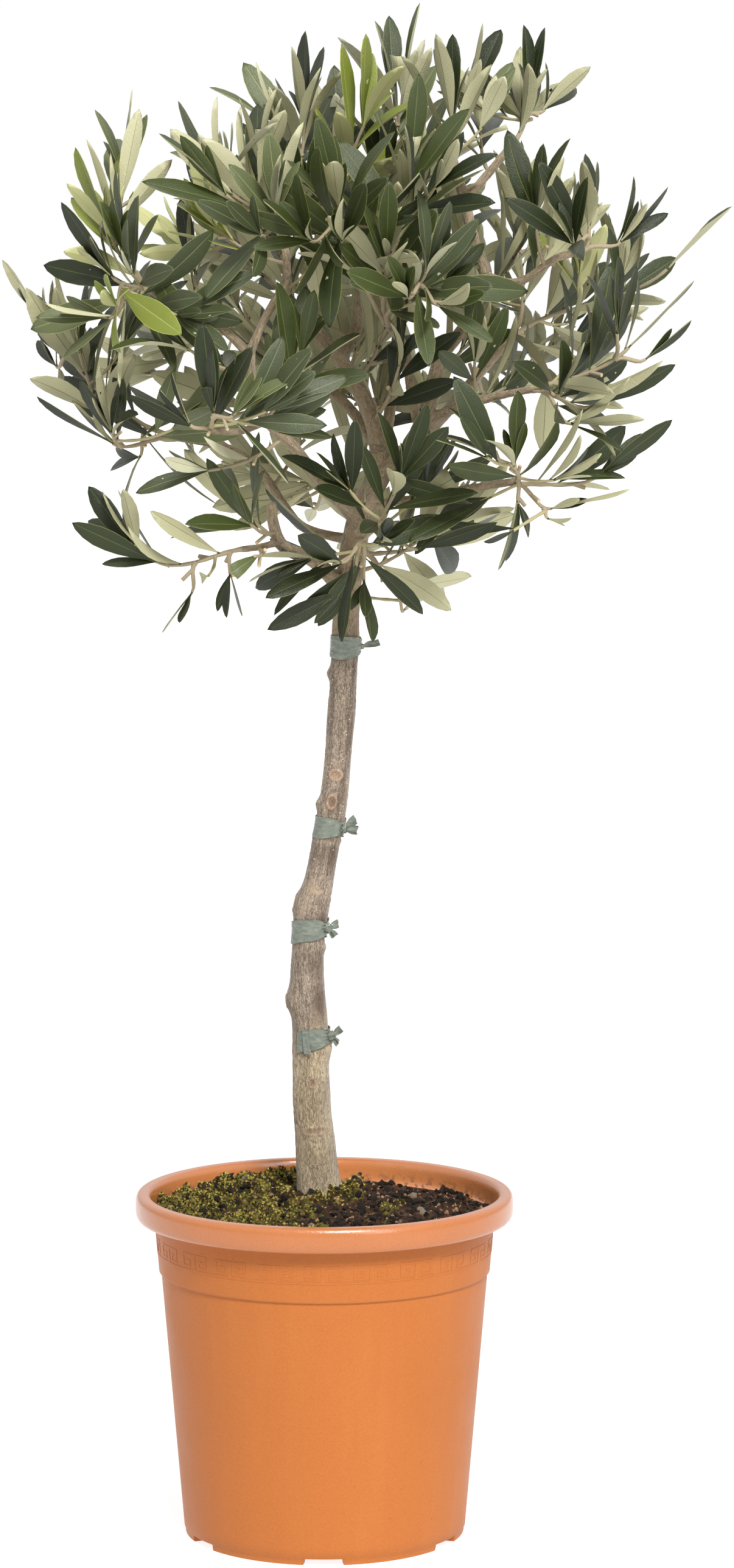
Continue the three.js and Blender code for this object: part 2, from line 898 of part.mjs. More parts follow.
function spurTwig(stem, share, angle, length, mass) {
  const root = onTwig(stem, share);
  const axis = stem.curve.getTangentAt(share);
  const start = axis.clone().multiplyScalar(GROWTH.spurForward).add(aroundAxis(axis, angle)).normalize();
  const end = start.clone()
    .addScaledVector(axis, GROWTH.spurCurl)
    .addScaledVector(UP, GROWTH.uprightness)
    .normalize();
  const middle = root.clone().addScaledVector(start, length / 2);
  return makeTwig([
    root,
    root.clone().addScaledVector(start, length / 3),
    middle,
    middle.clone().addScaledVector(end, length / 2),
  ], TWIG.shootBase, mass);
}

// Everything that stands in the crown so far: wood, twigs and leaves, as convex bodies.
const placed = [];

// A stem's foot stands at the end of its bough, so that stretch is not tested against the bough.
function twigIsClear(twig, isStem) {
  return twig.bodies.every((body, i) => placed.every((other) => {
    if (other.mass === twig.mass) return true;
    if (isStem && i === 0 && other.bough === twig.mass.bough) return true;
    return clear(body, other.body);
  }));
}

// The crown's outermost reach in many directions, which no leaf passes.
const REACH = { directions: 160, slack: 3 };

function crownReach() {
  const tips = MASSES.flatMap((mass) => [mass.tip, ...mass.sides]).map((tip) => new THREE.Vector3(...tip));
  return Array.from({ length: REACH.directions }, (_, i) => {
    const z = 1 - (2 * i + 1) / REACH.directions;
    const flat = Math.sqrt(1 - z * z);
    const bearing = i * GOLDEN_ANGLE;
    const direction = new THREE.Vector3(flat * Math.cos(bearing), flat * Math.sin(bearing), z);
    return { direction, limit: shadow(tips, direction)[1] + REACH.slack };
  });
}

const crownLimits = crownReach();

function insideCrown(point) {
  return crownLimits.every(({ direction, limit }) => point.dot(direction) < limit);
}

function keepTwig(twig) {
  for (const body of twig.bodies) placed.push({ body, blade: body, mass: twig.mass, twig });
  twig.mass.twigs.push(twig);
}

function leafIsClear(leaf, twig) {
  const body = leafBody(leaf, 0);
  const blade = leafBody(leaf, leaf.length * LEAF.bareRoot);
  const isClear = placed.every((other) => {
    if (other.twig === twig && !other.leaf) return true;
    return other.mass === twig.mass ? clear(blade, other.blade) : clear(body, other.body);
  });
  return isClear ? { body, blade } : null;
}

function strayAt(attempt, [first, further]) {
  return first + further * attempt;
}

// Tries a leaf at a place on a twig, turned a little further each time it finds no room.
function placeLeaf(twig, proposal, draw) {
  const axis = twig.curve.getTangentAt(proposal.share);
  const root = onTwig(twig, proposal.share);
  for (let attempt = 0; attempt < STRAY.tries; attempt += 1) {
    const lean = THREE.MathUtils.degToRad(proposal.lean + vary(draw, strayAt(attempt, STRAY.lean)));
    const radial = aroundAxis(axis, proposal.angle + vary(draw, strayAt(attempt, STRAY.angle)));
    let along = axis.clone().multiplyScalar(Math.cos(lean)).addScaledVector(radial, Math.sin(lean));
    along.addScaledVector(UP, GROWTH.uprightness).normalize();
    let length = LEAF.length * proposal.size * (1 + vary(draw, STRAY.leafLength));
    if (proposal.tip) {
      along = new THREE.Vector3().subVectors(proposal.tip, root);
      length = along.length();
      along.normalize();
    }
    const upper = axis.clone()
      .addScaledVector(UP, GROWTH.upperLift)
      .addScaledVector(radial, GROWTH.upperTurn);
    const side = new THREE.Vector3().crossVectors(along, upper).normalize();
    side.applyAxisAngle(along, vary(draw, strayAt(attempt, STRAY.roll)));
    const leaf = { root, along, side, length };
    const reaches = proposal.tip || insideCrown(root.clone().addScaledVector(along, length));
    const bodies = reaches && leafIsClear(leaf, twig);
    if (bodies) {
      placed.push({ ...bodies, mass: twig.mass, twig, leaf });
      twig.mass.leaves.push(leaf);
      return true;
    }
  }
  return false;
}

// The leaves of one twig from its end to its foot: one at the end, then crossed pairs.
function* leavesAlong(twig, tip, turn) {
  yield { share: GROWTH.endShare, lean: GROWTH.endTilt, angle: turn, size: GROWTH.endSize, tip };
  const length = twig.curve.getLength();
  const pairs = Math.floor((length * (1 - GROWTH.bareStem)) / GROWTH.pairSpacing) + 1;
  for (let i = 0; i < pairs; i += 1) {
    const share = 1 - (i + GROWTH.firstPair) * GROWTH.pairSpacing / length;
    if (share < GROWTH.bareStem) return;
    const opened = Math.min(1, i / GROWTH.fullLeanPair);
    const lean = THREE.MathUtils.lerp(GROWTH.endLean, GROWTH.footLean, opened);
    const angle = turn + i * Math.PI / 2;
    const size = i === 0 ? GROWTH.youngSize : 1;
    yield { share, lean, angle, size };
    yield { share, lean, angle: angle + Math.PI, size };
  }
}

// Leafy spurs off the inner part of a mass's stem. A spur that finds no room is left out.
function* spurs(mass, draw) {
  const stem = mass.reaching[0].twig;
  const count = Math.max(GROWTH.leastSpurs, Math.floor(stem.curve.getLength() / GROWTH.spurSpacing));
  for (let i = 0; i < count; i += 1) {
    const place = (i + draw() * STRAY.spurPlace) / count;
    const share = THREE.MathUtils.lerp(GROWTH.bareStem, GROWTH.spurEnd, place);
    const length = GROWTH.spurLength * (1 + vary(draw, STRAY.spurLength));
    const spur = spurTwig(stem, share, i * GOLDEN_ANGLE + vary(draw, STRAY.spurAngle), length, mass);
    if (!twigIsClear(spur)) continue;
    const proposals = [...leavesAlong(spur, null, draw() * Math.PI)];
    if (!placeLeaf(spur, proposals[0], draw)) continue;
    keepTwig(spur);
    for (const proposal of proposals.slice(1)) yield { twig: spur, proposal };
  }
}

// All that one mass may grow, in order: the ends of its reaching twigs, its spurs, and then the
// rest of the pairs along its reaching twigs.
function* growth(mass, draw) {
  const lists = mass.reaching.map(({ twig, tip }) => ({
    twig,
    proposals: [...leavesAlong(twig, tip, draw() * Math.PI)],
  }));
  const ends = lists.flatMap(({ twig, proposals }) => (
    proposals.slice(0, GROWTH.endLeaves).map((proposal) => ({ twig, proposal }))
  ));
  const rest = lists.flatMap(({ twig, proposals }) => (
    proposals.slice(GROWTH.endLeaves).map((proposal) => ({ twig, proposal }))
  ));
  yield* ends;
  yield* spurs(mass, draw);
  yield* rest;
}

function plantMass(mass, index) {
  const siblings = MASSES.filter((other) => other.bough === mass.bough);
  mass.draw = drawer(index);
  mass.twigs = [];
  mass.leaves = [];
  mass.reaching = [];
  const bough = BOUGHS.find((other) => other.name === mass.bough);
  const tip = new THREE.Vector3(...mass.tip);
  let start;
  let root;
  if (bough) {
    start = bough.curve.getTangentAt(1);
    root = bough.curve.getPointAt(1).addScaledVector(start, FOOT_OFF_BOUGH * GAP);
    if (siblings.length > 1) {
      const mean = new THREE.Vector3();
      for (const other of siblings) mean.add(new THREE.Vector3(...other.tip));
      mean.divideScalar(siblings.length);
      const apart = new THREE.Vector3().subVectors(tip, mean).projectOnPlane(start).normalize();
      const spread = siblings.length > 2 ? TWIG.wideSpread : TWIG.rootSpread;
      root.addScaledVector(apart, spread);
    }
  } else {
    const bearing = THREE.MathUtils.degToRad(mass.bearing);
    start = new THREE.Vector3(Math.cos(bearing), Math.sin(bearing), 0);
    const flats = trunkRadius(mass.height, bearing) * Math.cos(Math.PI / TRUNK.sides);
    root = trunkAt(mass.height).addScaledVector(start, flats + FOOT_OFF_TRUNK * GAP);
  }
  let stem;
  for (let bend = 0; bend <= GROWTH.bows; bend += 1) {
    stem = reachingTwig(root, start, tip, TWIG.base, mass, bend);
    if (twigIsClear(stem, true)) break;
  }
  mass.reaching.push({ twig: stem, tip });
  keepTwig(stem);
  for (const sideTip of mass.sides) {
    const end = new THREE.Vector3(...sideTip);
    const shoot = leavingShares(stem, end)
      .map((share) => sideTwig(stem, share, end, mass))
      .find((twig) => twigIsClear(twig));
    if (!shoot) continue;
    mass.reaching.push({ twig: shoot, tip: end });
    keepTwig(shoot);
  }
}

function growCrown() {
  const trunkWood = {
    name: 'trunk',
    curve: trunkCurve,
    radiusAt: (share) => trunkRadius(trunkCurve.getPointAt(share).z, 0),
  };
  const boughWood = BOUGHS.map((bough) => ({ ...bough, radiusAt: (share) => boughRadius(bough, share) }));
  for (const { name, curve, radiusAt } of [trunkWood, ...boughWood]) {
    const steps = Math.max(3, Math.round(curve.getLength() / BOUGH.step));
    for (const body of rodBodies(curve, radiusAt, steps, WOOD_ROUND)) {
      placed.push({ body, blade: body, bough: name });
    }
  }
  MASSES.forEach(plantMass);
  const growing = MASSES.map((mass) => ({ mass, list: growth(mass, mass.draw) }));
  let count = 0;
  while (count < GROWTH.leaves && growing.length) {
    for (const item of [...growing]) {
      const next = item.list.next();
      if (next.done) growing.splice(growing.indexOf(item), 1);
      else placeLeaf(next.value.twig, next.value.proposal, item.mass.draw);
    }
    count = MASSES.reduce((sum, mass) => sum + mass.leaves.length, 0);
  }
}

function leafGeometry(leaf, thicker) {
  const geometry = new THREE.BufferGeometry();
  geometry.setFromPoints(leafPoints(leaf, 0, thicker));
  geometry.setIndex(LEAF_FACES.flat());
  return geometry;
}

function makeMass(mass) {
  let solid;
  for (const thicker of FULLNESS) {
    const twigs = mass.twigs.map((twig) => {
      const radiusAt = (share) => twig.radiusAt(share) * thicker;
      return toSolid(bentRod(twig.curve, radiusAt, 3, twig.steps));
    });
    const leaves = mass.leaves.map((leaf) => toSolid(leafGeometry(leaf, thicker)));
    solid = mainBody(joined([...twigs, ...leaves]));
    if (isSound(solid)) break;
  }
  return solid;
}

// Assembly

const tree = new THREE.Group();

function addPart(name, solid, finish) {
  const material = new THREE.MeshStandardMaterial({ ...COLOURS[finish], metalness: 0 });
  const mesh = new THREE.Mesh(toGeometry(solid), material);
  mesh.name = name;
  tree.add(mesh);
}

addPart('pot', makePot(), 'pot');
addPart('soil', makeSoil(), 'soil');
addPart('trunk', makeTrunk(), 'bark');
for (const tie of TIES) addPart(tie.name, makeTie(tie), 'tie');

// Each bough is cut back from the wood it springs from, which was made before it.
const woodWithGap = [makeTrunk(GAP)];
for (const bough of BOUGHS) {
  const solid = woodWithGap.reduce((left, wood) => left.subtract(wood), makeBough(bough));
  addPart(bough.name, mainBody(solid), 'bark');
  woodWithGap.push(makeBough(bough, GAP));
}

growCrown();
for (const mass of MASSES) addPart(mass.name, makeMass(mass), 'leaf');

export default tree;
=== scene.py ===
# Potted olive tree: a young standard olive with a pruned round head, in a round plastic pot.
# Sizes are in millimetres until a mesh is made, and then in metres. +Z is up and the front looks along -Y.
import itertools
from functools import partial
from math import atan2, ceil, copysign, cos, exp, hypot, pi, radians, remainder, sin, sqrt, tau
from types import SimpleNamespace as Facts

import bmesh
import bpy
import numpy as np
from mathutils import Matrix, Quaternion, Vector, kdtree, noise


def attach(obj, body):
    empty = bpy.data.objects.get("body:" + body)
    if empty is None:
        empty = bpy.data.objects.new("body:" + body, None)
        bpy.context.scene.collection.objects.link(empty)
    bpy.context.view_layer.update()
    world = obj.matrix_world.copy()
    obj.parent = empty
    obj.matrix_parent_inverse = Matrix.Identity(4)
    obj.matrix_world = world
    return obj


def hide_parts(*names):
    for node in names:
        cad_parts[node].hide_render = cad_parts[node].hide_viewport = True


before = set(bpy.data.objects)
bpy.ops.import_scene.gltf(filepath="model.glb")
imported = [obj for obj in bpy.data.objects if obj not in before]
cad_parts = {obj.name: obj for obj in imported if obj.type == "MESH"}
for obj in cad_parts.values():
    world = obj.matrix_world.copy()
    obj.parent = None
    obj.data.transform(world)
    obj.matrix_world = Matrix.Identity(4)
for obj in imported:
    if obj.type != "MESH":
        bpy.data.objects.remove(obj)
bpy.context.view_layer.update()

MM = 0.001
UP = Vector((0, 0, 1))
GOLDEN_ANGLE = radians(137.508)

# Camera: the whole picture is 1206 by 2576 pixels, and the sensor's 36 mm lie along its long side.
PICTURE_HEIGHT = 2576
FOCAL_PIXELS = 7612
SENSOR = 36
CAMERA_PLACE = (0.027, -2.9, 0.79)
CAMERA_PITCH = 6.12

POT = Facts(
    height=219, rim_radius=120, lip_radius=110, rim_underside=202.5, rim_squareness=3.1, band_top=202,
    band_top_radius=107.8, band_foot=170, band_foot_radius=105.3, body_top=168.6, body_top_radius=103.7,
    body_foot=4.5, body_foot_radius=89.8, foot_radius=89, foot_inner=81.8, recess=5, pad_radius=32,
    edge=1, inner_top_radius=104.2, wall=2.6, floor=8, notches=6, notch_width=25, notch_height=4,
    sides=216,
)
NOTCH_HALF = POT.notch_width / 2 / POT.foot_radius

# The raised key pattern in the pot's band. Each mark is one cell, and each row lies below the last.
KEY_ROWS = (
    "#########...",
    "#.......#...",
    "#.......#...",
    "#..###..#...",
    "#..#....#...",
    "#..#....#...",
    "#..######...",
    "#...........",
    "############",
)
KEY_PAIRS = 22
KEY_MIDDLE = 187
KEY_PROUD = 0.19
KEY_SUNK = 0.3

SOIL = Facts(
    foot=8.3, radius=108.9, ledge_radius=103.5, ledge=202.6, edge=204.8, crown=210.4, crown_radius=26,
    collar=212.4, collar_radius=14, collar_slope=0.4, bare_radius=15.5, rings=74, sides=190,
)

# Trunk centre line from the soil to the fork, each entry x, y, z and diameter.
TRUNK_PATH = (
    (-3.1, 30, 210.9, 27.5), (-7.8, 26, 264, 24.4), (-9.4, 22, 320, 23.2), (-10.7, 18, 371, 20.9),
    (-3.2, 14.5, 416, 18.4), (6.6, 10, 473, 17.6), (12.8, 6, 556, 17.4), (15.4, 4, 606, 17),
    (24, 4, 651, 16.2), (35, 4, 674, 15.4),
)
FLARE = 0.14
FLARE_HEIGHT = 12

# Old pruning knots and buds: height, bearing in degrees, swelling and half height.
KNOTS = (
    (339, 186, 3.8, 8), (399, 174, 4.2, 11), (571, 300, 1.6, 8), (374, -20, 1.4, 4), (308, -18, 2.2, 8),
    (548, 183, 2.4, 4), (464, 188, 2.2, 4),
)
BUD_REACH = 6

# Healed scars with a raised lip: height, bearing in degrees, half width, half height, strength.
SCARS = (
    (485, -94, 4.4, 3.4, 0.62), (468, -98, 3.0, 4.4, 0.85), (287, -86, 2.2, 3.2, 0.5),
    (255.5, -84, 8.5, 2.6, 0.34), (411, -96, 4, 1.8, 0.2), (339, 186, 3.4, 4, 0.6),
    (399, 174, 4.4, 5, 0.6),
)

# Level wrinkles right round the trunk: height and depth.
WRINKLES = ((257, 0.12), (444, 0.45), (376, 0.4), (405, 0.3), (500, 0.15), (533, 0.15))

# Stains, pale places and painted light on the bark: height, bearing in degrees, half turn in radians, half
# height, and how much darker (below 0) or paler (above 0) than the bark beside it. The two darker ones at 530
# on either side of the front are painted shade on the trunk's round sides, and the pale one at 525
# straight in front is a painted highlight down the trunk.
MARKS = (
    (366, -42, 0.6, 13, -0.8), (336, -48, 0.55, 14, -0.7), (393, -48, 0.5, 7, -0.9),
    # The last mark on this line and the first on the next are painted shade on the trunk's two sides.
    (433, -50, 0.6, 11, -0.7), (434, -128, 0.5, 9, -0.6), (530, -140, 0.35, 34, -0.5),
    (530, -42, 0.35, 34, -0.45), (476, -60, 0.4, 9, -0.4), (480, -130, 0.3, 12, -0.4),
    (382, -120, 0.5, 7, -0.4), (296, -50, 0.5, 9, 0.35), (286, -90, 1.2, 24, -0.2),
    (353, -90, 0.5, 4, 0.3), (411, -100, 0.5, 2.4, 0.35), (442.5, -80, 1.5, 1.8, 0.6),
    # The first mark on this line is a painted highlight down the front of the trunk.
    (525, -92, 0.2, 40, 0.12), (500, -80, 0.9, 12, -0.25), (375, -20, 0.35, 3, 0.6),
    (308, -20, 0.3, 5, 0.5),
)

# Flat ties round the trunk. knot is the knot's bearing in degrees and bulk its size, slope lifts the
# band towards the knot, span is how far round the band goes, and each tail has its turn from the
# knot, rise, length and width.
TIES = {
    "tie_1": Facts(middle=565.5, width=14, knot=-8, bulk=0.45, slope=0.0, span=360,
                   tails=((0.1, 0.2, 11.5, 4.6), (-0.2, 0.35, 7, 3.8))),
    "tie_2": Facts(middle=451, width=13, knot=-35, bulk=0.8, slope=-0.08, span=360,
                   tails=((0.35, 0.85, 10, 6), (0.1, -0.1, 9, 6.5))),
    "tie_3": Facts(middle=384, width=14.5, knot=-30, bulk=0.9, slope=0.12, span=360,
                   tails=((0.5, 0.55, 7.5, 5), (0.1, -0.7, 7.5, 5))),
    "tie_4": Facts(middle=313, width=13.5, knot=-28, bulk=0.95, slope=0.2, span=262,
                   tails=((0.45, 0.8, 8.5, 5), (0.0, -0.6, 7, 5))),
}

# Each bough: diameter at its foot and at its end, and the points its centre line passes.
BOUGHS = {
    "fork_left": (13, 8, ((35, 4, 674), (33, 3, 700), (20, 2, 730), (7, 4, 749), (-14, 6, 771))),
    "fork_right": (12, 9, ((35, 4, 674), (60, -6, 694), (65, -12, 717), (73, -18, 750))),
    "left_upright": (8.5, 6.6, ((9, 4, 746), (19, 20, 760), (23, 32, 790))),
    "right_upright": (8, 6.6, (
        (73, -18, 748), (88, -21, 767), (100, -30, 798),
        (94, -32, 815), (86, -35, 846), (79, -36, 869),
    )),
    "right_upright_arm": (5.5, 5, ((87, -35, 843), (103, -30, 861), (118, -26, 879))),
    "right_upper": (5.5, 5, ((99, -30, 797), (119, -38, 793), (144, -45, 808), (160, -48, 812))),
    "centre_front": (6.5, 5.8, ((61, -7, 697), (55, 6, 722), (51, -2, 750), (39, -32, 769))),
    "right_reach": (7, 5, ((63, -9, 702), (78, -14, 714), (103, -28, 722), (130, -44, 728))),
    "right_low": (6, 5, ((25, 4, 653), (61, -12, 660), (86, -25, 665), (119, -38, 671))),
    "left_low": (11, 6.6, ((14, 5, 600), (-6, -6, 620), (-26, -26, 631), (-31, -32, 645), (-32, -34, 658))),
    "left_low_arm": (4.6, 4.2, ((-27, -27, 633), (-40, -33, 630), (-51, -38, 629))),
    "left_back": (6.5, 5.2, (
        (19, 5, 632), (-14, 22, 640), (-26, 28, 654),
        (-42, 28, 677), (-62, 14, 690), (-96, -8, 698),
    )),
    "left_front": (8, 6.6, (
        (21, 3, 644), (-1, -24, 670), (-18, -44, 692),
        (-37, -62, 713), (-44, -70, 738), (-44, -72, 752),
    )),
    "left_front_up": (5.6, 5, ((-44, -72, 751), (-35, -74, 771), (-22, -72, 796), (-23, -68, 818))),
    "left_front_arm": (5.6, 5, ((-44, -71, 749), (-61, -70, 765), (-88, -60, 779), (-107, -55, 789))),
    "left_front_low": (5, 4.6, ((-34, -59, 709), (-50, -80, 703), (-66, -96, 704))),
    "back_left": (8, 5.6, ((34, 3, 690), (15, 35, 715), (-18, 68, 742), (-45, 90, 762))),
    "back_right": (8, 6.2, ((58, -5, 692), (80, 28, 715), (104, 62, 742), (122, 84, 760))),
    "back_top": (8, 6, ((36, 5, 678), (42, 42, 718), (46, 78, 765), (46, 98, 800))),
    "back_low": (6.5, 5.2, ((20, 5, 638), (14, 38, 650), (6, 68, 660), (2, 90, 668))),
}

# Each mass of foliage, without the leaves_ of its name: its bough, its furthest leaf tip, and the tips
# that its side shoots reach.
MASSES = {
    "top": ("left_upright", (58, 25, 967), ((41, 45, 960),)),
    "top_mid": ("left_upright", (26, -20, 945), ((6, 72, 930),)),
    "top_left": ("fork_left", (-12, 20, 949), ((-42, 0, 929),)),
    "upper_left": ("fork_left", (-89, 50, 875), ((-125, 62, 844),)),
    "right_top": ("right_upright", (80, -15, 945), ((99, -5, 952),)),
    "right_crest": ("right_upright_arm", (136, -20, 949), ((152, -10, 920), (121, 40, 928))),
    "right_upper": ("right_upper", (168, -60, 866), ((212, -50, 850), (135, -110, 841))),
    "right_far": ("back_right", (257, 35, 840), ((192, 70, 818),)),
    "right_reach": ("right_reach", (226, -70, 794), ((226, -45, 770), (179, -100, 809))),
    "right_mid": ("right_reach", (218, -30, 742), ((196, -75, 710), (157, -110, 758))),
    "right_low": ("right_low", (188, -60, 668), ((213, -70, 710), (149, -50, 644))),
    "right_under": ("right_low", (118, -90, 728), ((89, -60, 714), (127, -20, 635))),
    "centre_top": ("centre_front", (59, -60, 919), ((40, -120, 852),)),
    "centre_left": ("centre_front", (-3, -95, 892), ((-35, -140, 841), (12, -150, 841))),
    "centre_right": ("centre_front", (76, -130, 841), ((40, -150, 808), (98, -120, 787))),
    "left_crest": ("left_front_up", (-90, -20, 904), ((-55, -60, 890),)),
    "left_mid": ("left_front_up", (-32, -95, 883), ((-57, -130, 841),)),
    "left_top": ("left_front_arm", (-150, -55, 875), ((-118, -30, 911),)),
    "left_front": ("left_front_arm", (-158, -80, 841), ((-132, -120, 787), (-175, -60, 772))),
    "left_fill": ("left_front_low", (-66, -135, 753), ((-98, -110, 729), (-36, -140, 737))),
    "left_reach": ("left_back", (-176, -40, 724), ((-167, -10, 806), (-137, -70, 743))),
    "left_far": ("left_back", (-202, 25, 807), ((-183, 60, 756), (-136, 30, 676))),
    "left_low": ("left_low_arm", (-154, -60, 646), ((-145, -40, 668), (-99, -70, 580), (-60, -55, 588))),
    "front_low": (
        "trunk", (63, -90, 721), ((30, -60, 573), (-34, -40, 579), (-15, -80, 640), (106, -75, 647)),
    ),
    "back_right": ("back_right", (159, 190, 755), ((202, 150, 723),)),
    "back_crest": ("back_right", (128, 130, 885), ((176, 120, 838),)),
    "back_left": ("back_left", (-134, 150, 787), ((-167, 110, 740),)),
    "back_rise": ("back_left", (-82, 150, 858), ((-45, 130, 897),)),
    "back_top": ("back_top", (32, 151, 912), ((81, 120, 916), (-14, 150, 890))),
    "back_mid": ("back_top", (10, 210, 787), ((66, 200, 799),)),
    "back_low": ("back_low", (-23, 180, 658), ((34, 190, 666), (-60, 130, 690))),
    "back_under": ("trunk", (94, 70, 606), ((61, 100, 596), (110, 140, 668))),
}

# Where the two masses that spring from the trunk leave it: height and bearing in degrees.
TRUNK_FEET = {"front_low": (632, -76), "back_under": (625, 44)}

# The level centre of the crown, x and y, and how the crown grows. Shares run along a twig from its foot
# to its end, and a pair from the least to the most is drawn between.
CROWN_CENTRE = (15, 8)
GROWTH = Facts(
    pair_spacing=12.5, bare_stem=0.16, bare_spur=0.3, end_lean=26, foot_lean=50, full_lean_pair=3,
    uprightness=0.28, crest_uprightness=0.42, skirt_uprightness=0.05, right_uprightness=0.3,
    outward_facing=1.5, upper_lift=0.5, upper_turn=-0.2, end_rise=0.3, bow=0.45, bows=8, last_shoot=0.84,
    shoot_step=0.04, shoot_forward=0.5, spur_forward=0.35, spur_curl=0.3, tries=6,
)
TWIG = Facts(stem_end=1.0, trunk_foot=2.6, shoot=1.75, shoot_end=0.95, spur_end=0.9, root_spread=0.96,
             wide_spread=1.38, stem_bare=18, shoot_bare=14, spur_bare=9)
LEAF = Facts(length=60, spread=0.18, width=(0.2, 0.28), arch=(-0.1, 0.55), reaching_arch=(-0.04, 0.08),
             fold=(0.08, 0.42), twist=0.5, wave=0.09, clipped=0.035, end_room=0.96, stem_room=0.7)
# How a leaf strays in its lean, bearing and roll: at the first try, and more with each try.
STRAY = ((4, 6), (0.15, 0.25), (0.6, 0.3))
# The leaf at a twig's end, larger where the twig has a tip to reach, and the two beside it.
END_LEAF = Facts(share=0.985, lean=8, size=0.72, reaching_size=0.95)
BESIDE_END = Facts(share=0.98, lean=18, size=0.5)
# The pair next to the end: how much nearer it stands, its size, and where the row of pairs begins.
NEXT_PAIR = Facts(nearer=0.8, size=0.85, start=0.35)
# A twig's girth: the most past its swollen foot, the foot's length, and the swelling at the pairs.
GIRTH = Facts(most=1.5, foot_length=9, at_pairs=0.12, step=3.2)
SPUR_STRAY = Facts(share=0.6, length=0.35, bearing=0.5)
SPURS = {
    "twig": Facts(first=0.16, last=0.8, spacing=19, length=36, foot=1.2),
    "trunk": Facts(first=0.84, last=0.99, spacing=24, length=50, foot=1.4),
    "bough": Facts(first=0.25, last=0.97, spacing=19, length=50, foot=1.4),
}
STUB = Facts(least_foot=1.3, along=(0.15, 0.8), length=(4, 11), lean=0.9, kept=0.55, radius=(1.0, 1.5))
REACH = Facts(directions=160, slack=3)
# The room that is kept free, in millimetres, between leaves, twigs and wood.
CLEAR = Facts(leaf_to_wood=1.2, leaf_to_leaf=4.5, twig_to_wood=1.3, twig_beside=1.0, stub_to_wood=1.5)
DRAW = Facts(spread=2654435761, factor=1664525, shift=1013904223, range=2 ** 32)


# Small tools


def tint(red, green, blue, alpha=1.0):
    """A screen colour of 0 to 255 as the linear colour that the shaders take."""
    parts = []
    for part in (red, green, blue):
        share = part / 255
        parts.append(share / 12.92 if share <= 0.04045 else ((share + 0.055) / 1.055) ** 2.4)
    return (*parts, alpha)


def mix(low, high, share):
    return low + (high - low) * share


def ramp(value, start, end, low=0, high=1):
    """From low, up to start, evenly to high, from end on."""
    return float(np.interp(value, (start, end), (low, high)))


def drawer(seed):
    """An even draw from 0 to 1 at each call, the same row for the same seed."""
    state = [((seed + 1) * DRAW.spread) % DRAW.range]

    def draw():
        state[0] = (state[0] * DRAW.factor + DRAW.shift) % DRAW.range
        return state[0] / DRAW.range

    return draw


def vary(draw, spread):
    return (draw() * 2 - 1) * spread


def placed(name, data):
    """A new object in the scene."""
    made = bpy.data.objects.new(name, data)
    bpy.context.scene.collection.objects.link(made)
    return made


def rows_of(points):
    """Points as an array of rows of three."""
    return np.array([tuple(point) for point in points], dtype=float)


def level_way(bearing, rise=0):
    return Vector((cos(bearing), sin(bearing), rise))


def small_mesh(name, points, edges=(), faces=()):
    mesh = bpy.data.meshes.new(name)
    mesh.from_pydata([tuple(point) for point in points], edges, faces)
    return mesh


def smooth_faces(mesh, smooth=True):
    mesh.polygons.foreach_set("use_smooth", [smooth] * len(mesh.polygons))
    mesh.update()


def mesh_object(name, points, faces, smooth=True):
    """An object of its own from points in millimetres."""
    mesh = small_mesh(name, np.asarray(points, dtype=float) * MM, (), faces)
    smooth_faces(mesh, smooth)
    return placed(name, mesh)


def grid_faces(rows, sides, first=0, closed=True, inward=False):
    """Quads between rows of points, joined round where the rows are closed."""
    faces = []
    for k in range(rows):
        for i in range(sides if closed else sides - 1):
            a, b = (first + k * sides + j for j in (i, (i + 1) % sides))
            faces.append((a, a + sides, b + sides, b) if inward else (a, b, b + sides, a + sides))
    return faces


def tube_faces(rows, sides, inward=False):
    """Quads between rings of points, with both ends closed."""
    first, last = tuple(range(sides)), tuple(range(rows * sides, (rows + 1) * sides))
    ends = [first, last[::-1]] if inward else [first[::-1], last]
    return ends[:1] + grid_faces(rows, sides, inward=inward) + ends[1:]


def joined_parts(parts):
    """The points and faces of several parts as those of one."""
    points, faces = [], []
    for more_points, more_faces in parts:
        first = len(points)
        points += more_points
        faces += [tuple(first + i for i in face) for face in more_faces]
    return points, faces


def turns(count):
    """Even bearings all the way round."""
    return [i * tau / count for i in range(count)]


def vertex_rows(mesh, key):
    """The places or normals of a mesh as rows of three."""
    flat = np.zeros(len(mesh.vertices) * 3)
    mesh.vertices.foreach_get(key, flat)
    return flat.reshape(-1, 3)


def noise_at(x, y, z):
    return noise.noise(Vector((x, y, z)))


def store(mesh, name, kind, values, domain="POINT"):
    """Keeps numbers on a mesh under a name. kind is FLOAT, INT, BOOLEAN or FLOAT_VECTOR."""
    kept = mesh.attributes.new(name, kind, domain)
    flat = np.asarray(values).reshape(-1)
    kept.data.foreach_set("vector" if kind == "FLOAT_VECTOR" else "value", flat)


def evaluated_mesh(source):
    """The plain mesh that an object's modifiers give."""
    depsgraph = bpy.context.evaluated_depsgraph_get()
    return bpy.data.meshes.new_from_object(source.evaluated_get(depsgraph), depsgraph=depsgraph)


def remove(*objects):
    for each in objects:
        bpy.data.objects.remove(each, do_unlink=True)


def finish_piece(piece, nodes, material=None):
    """Dresses a piece, hangs it under the root body and hides the parts that it stands for."""
    if material:
        piece.data.materials.clear()
        piece.data.materials.append(material)
    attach(piece, "root")
    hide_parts(*nodes)
    return piece


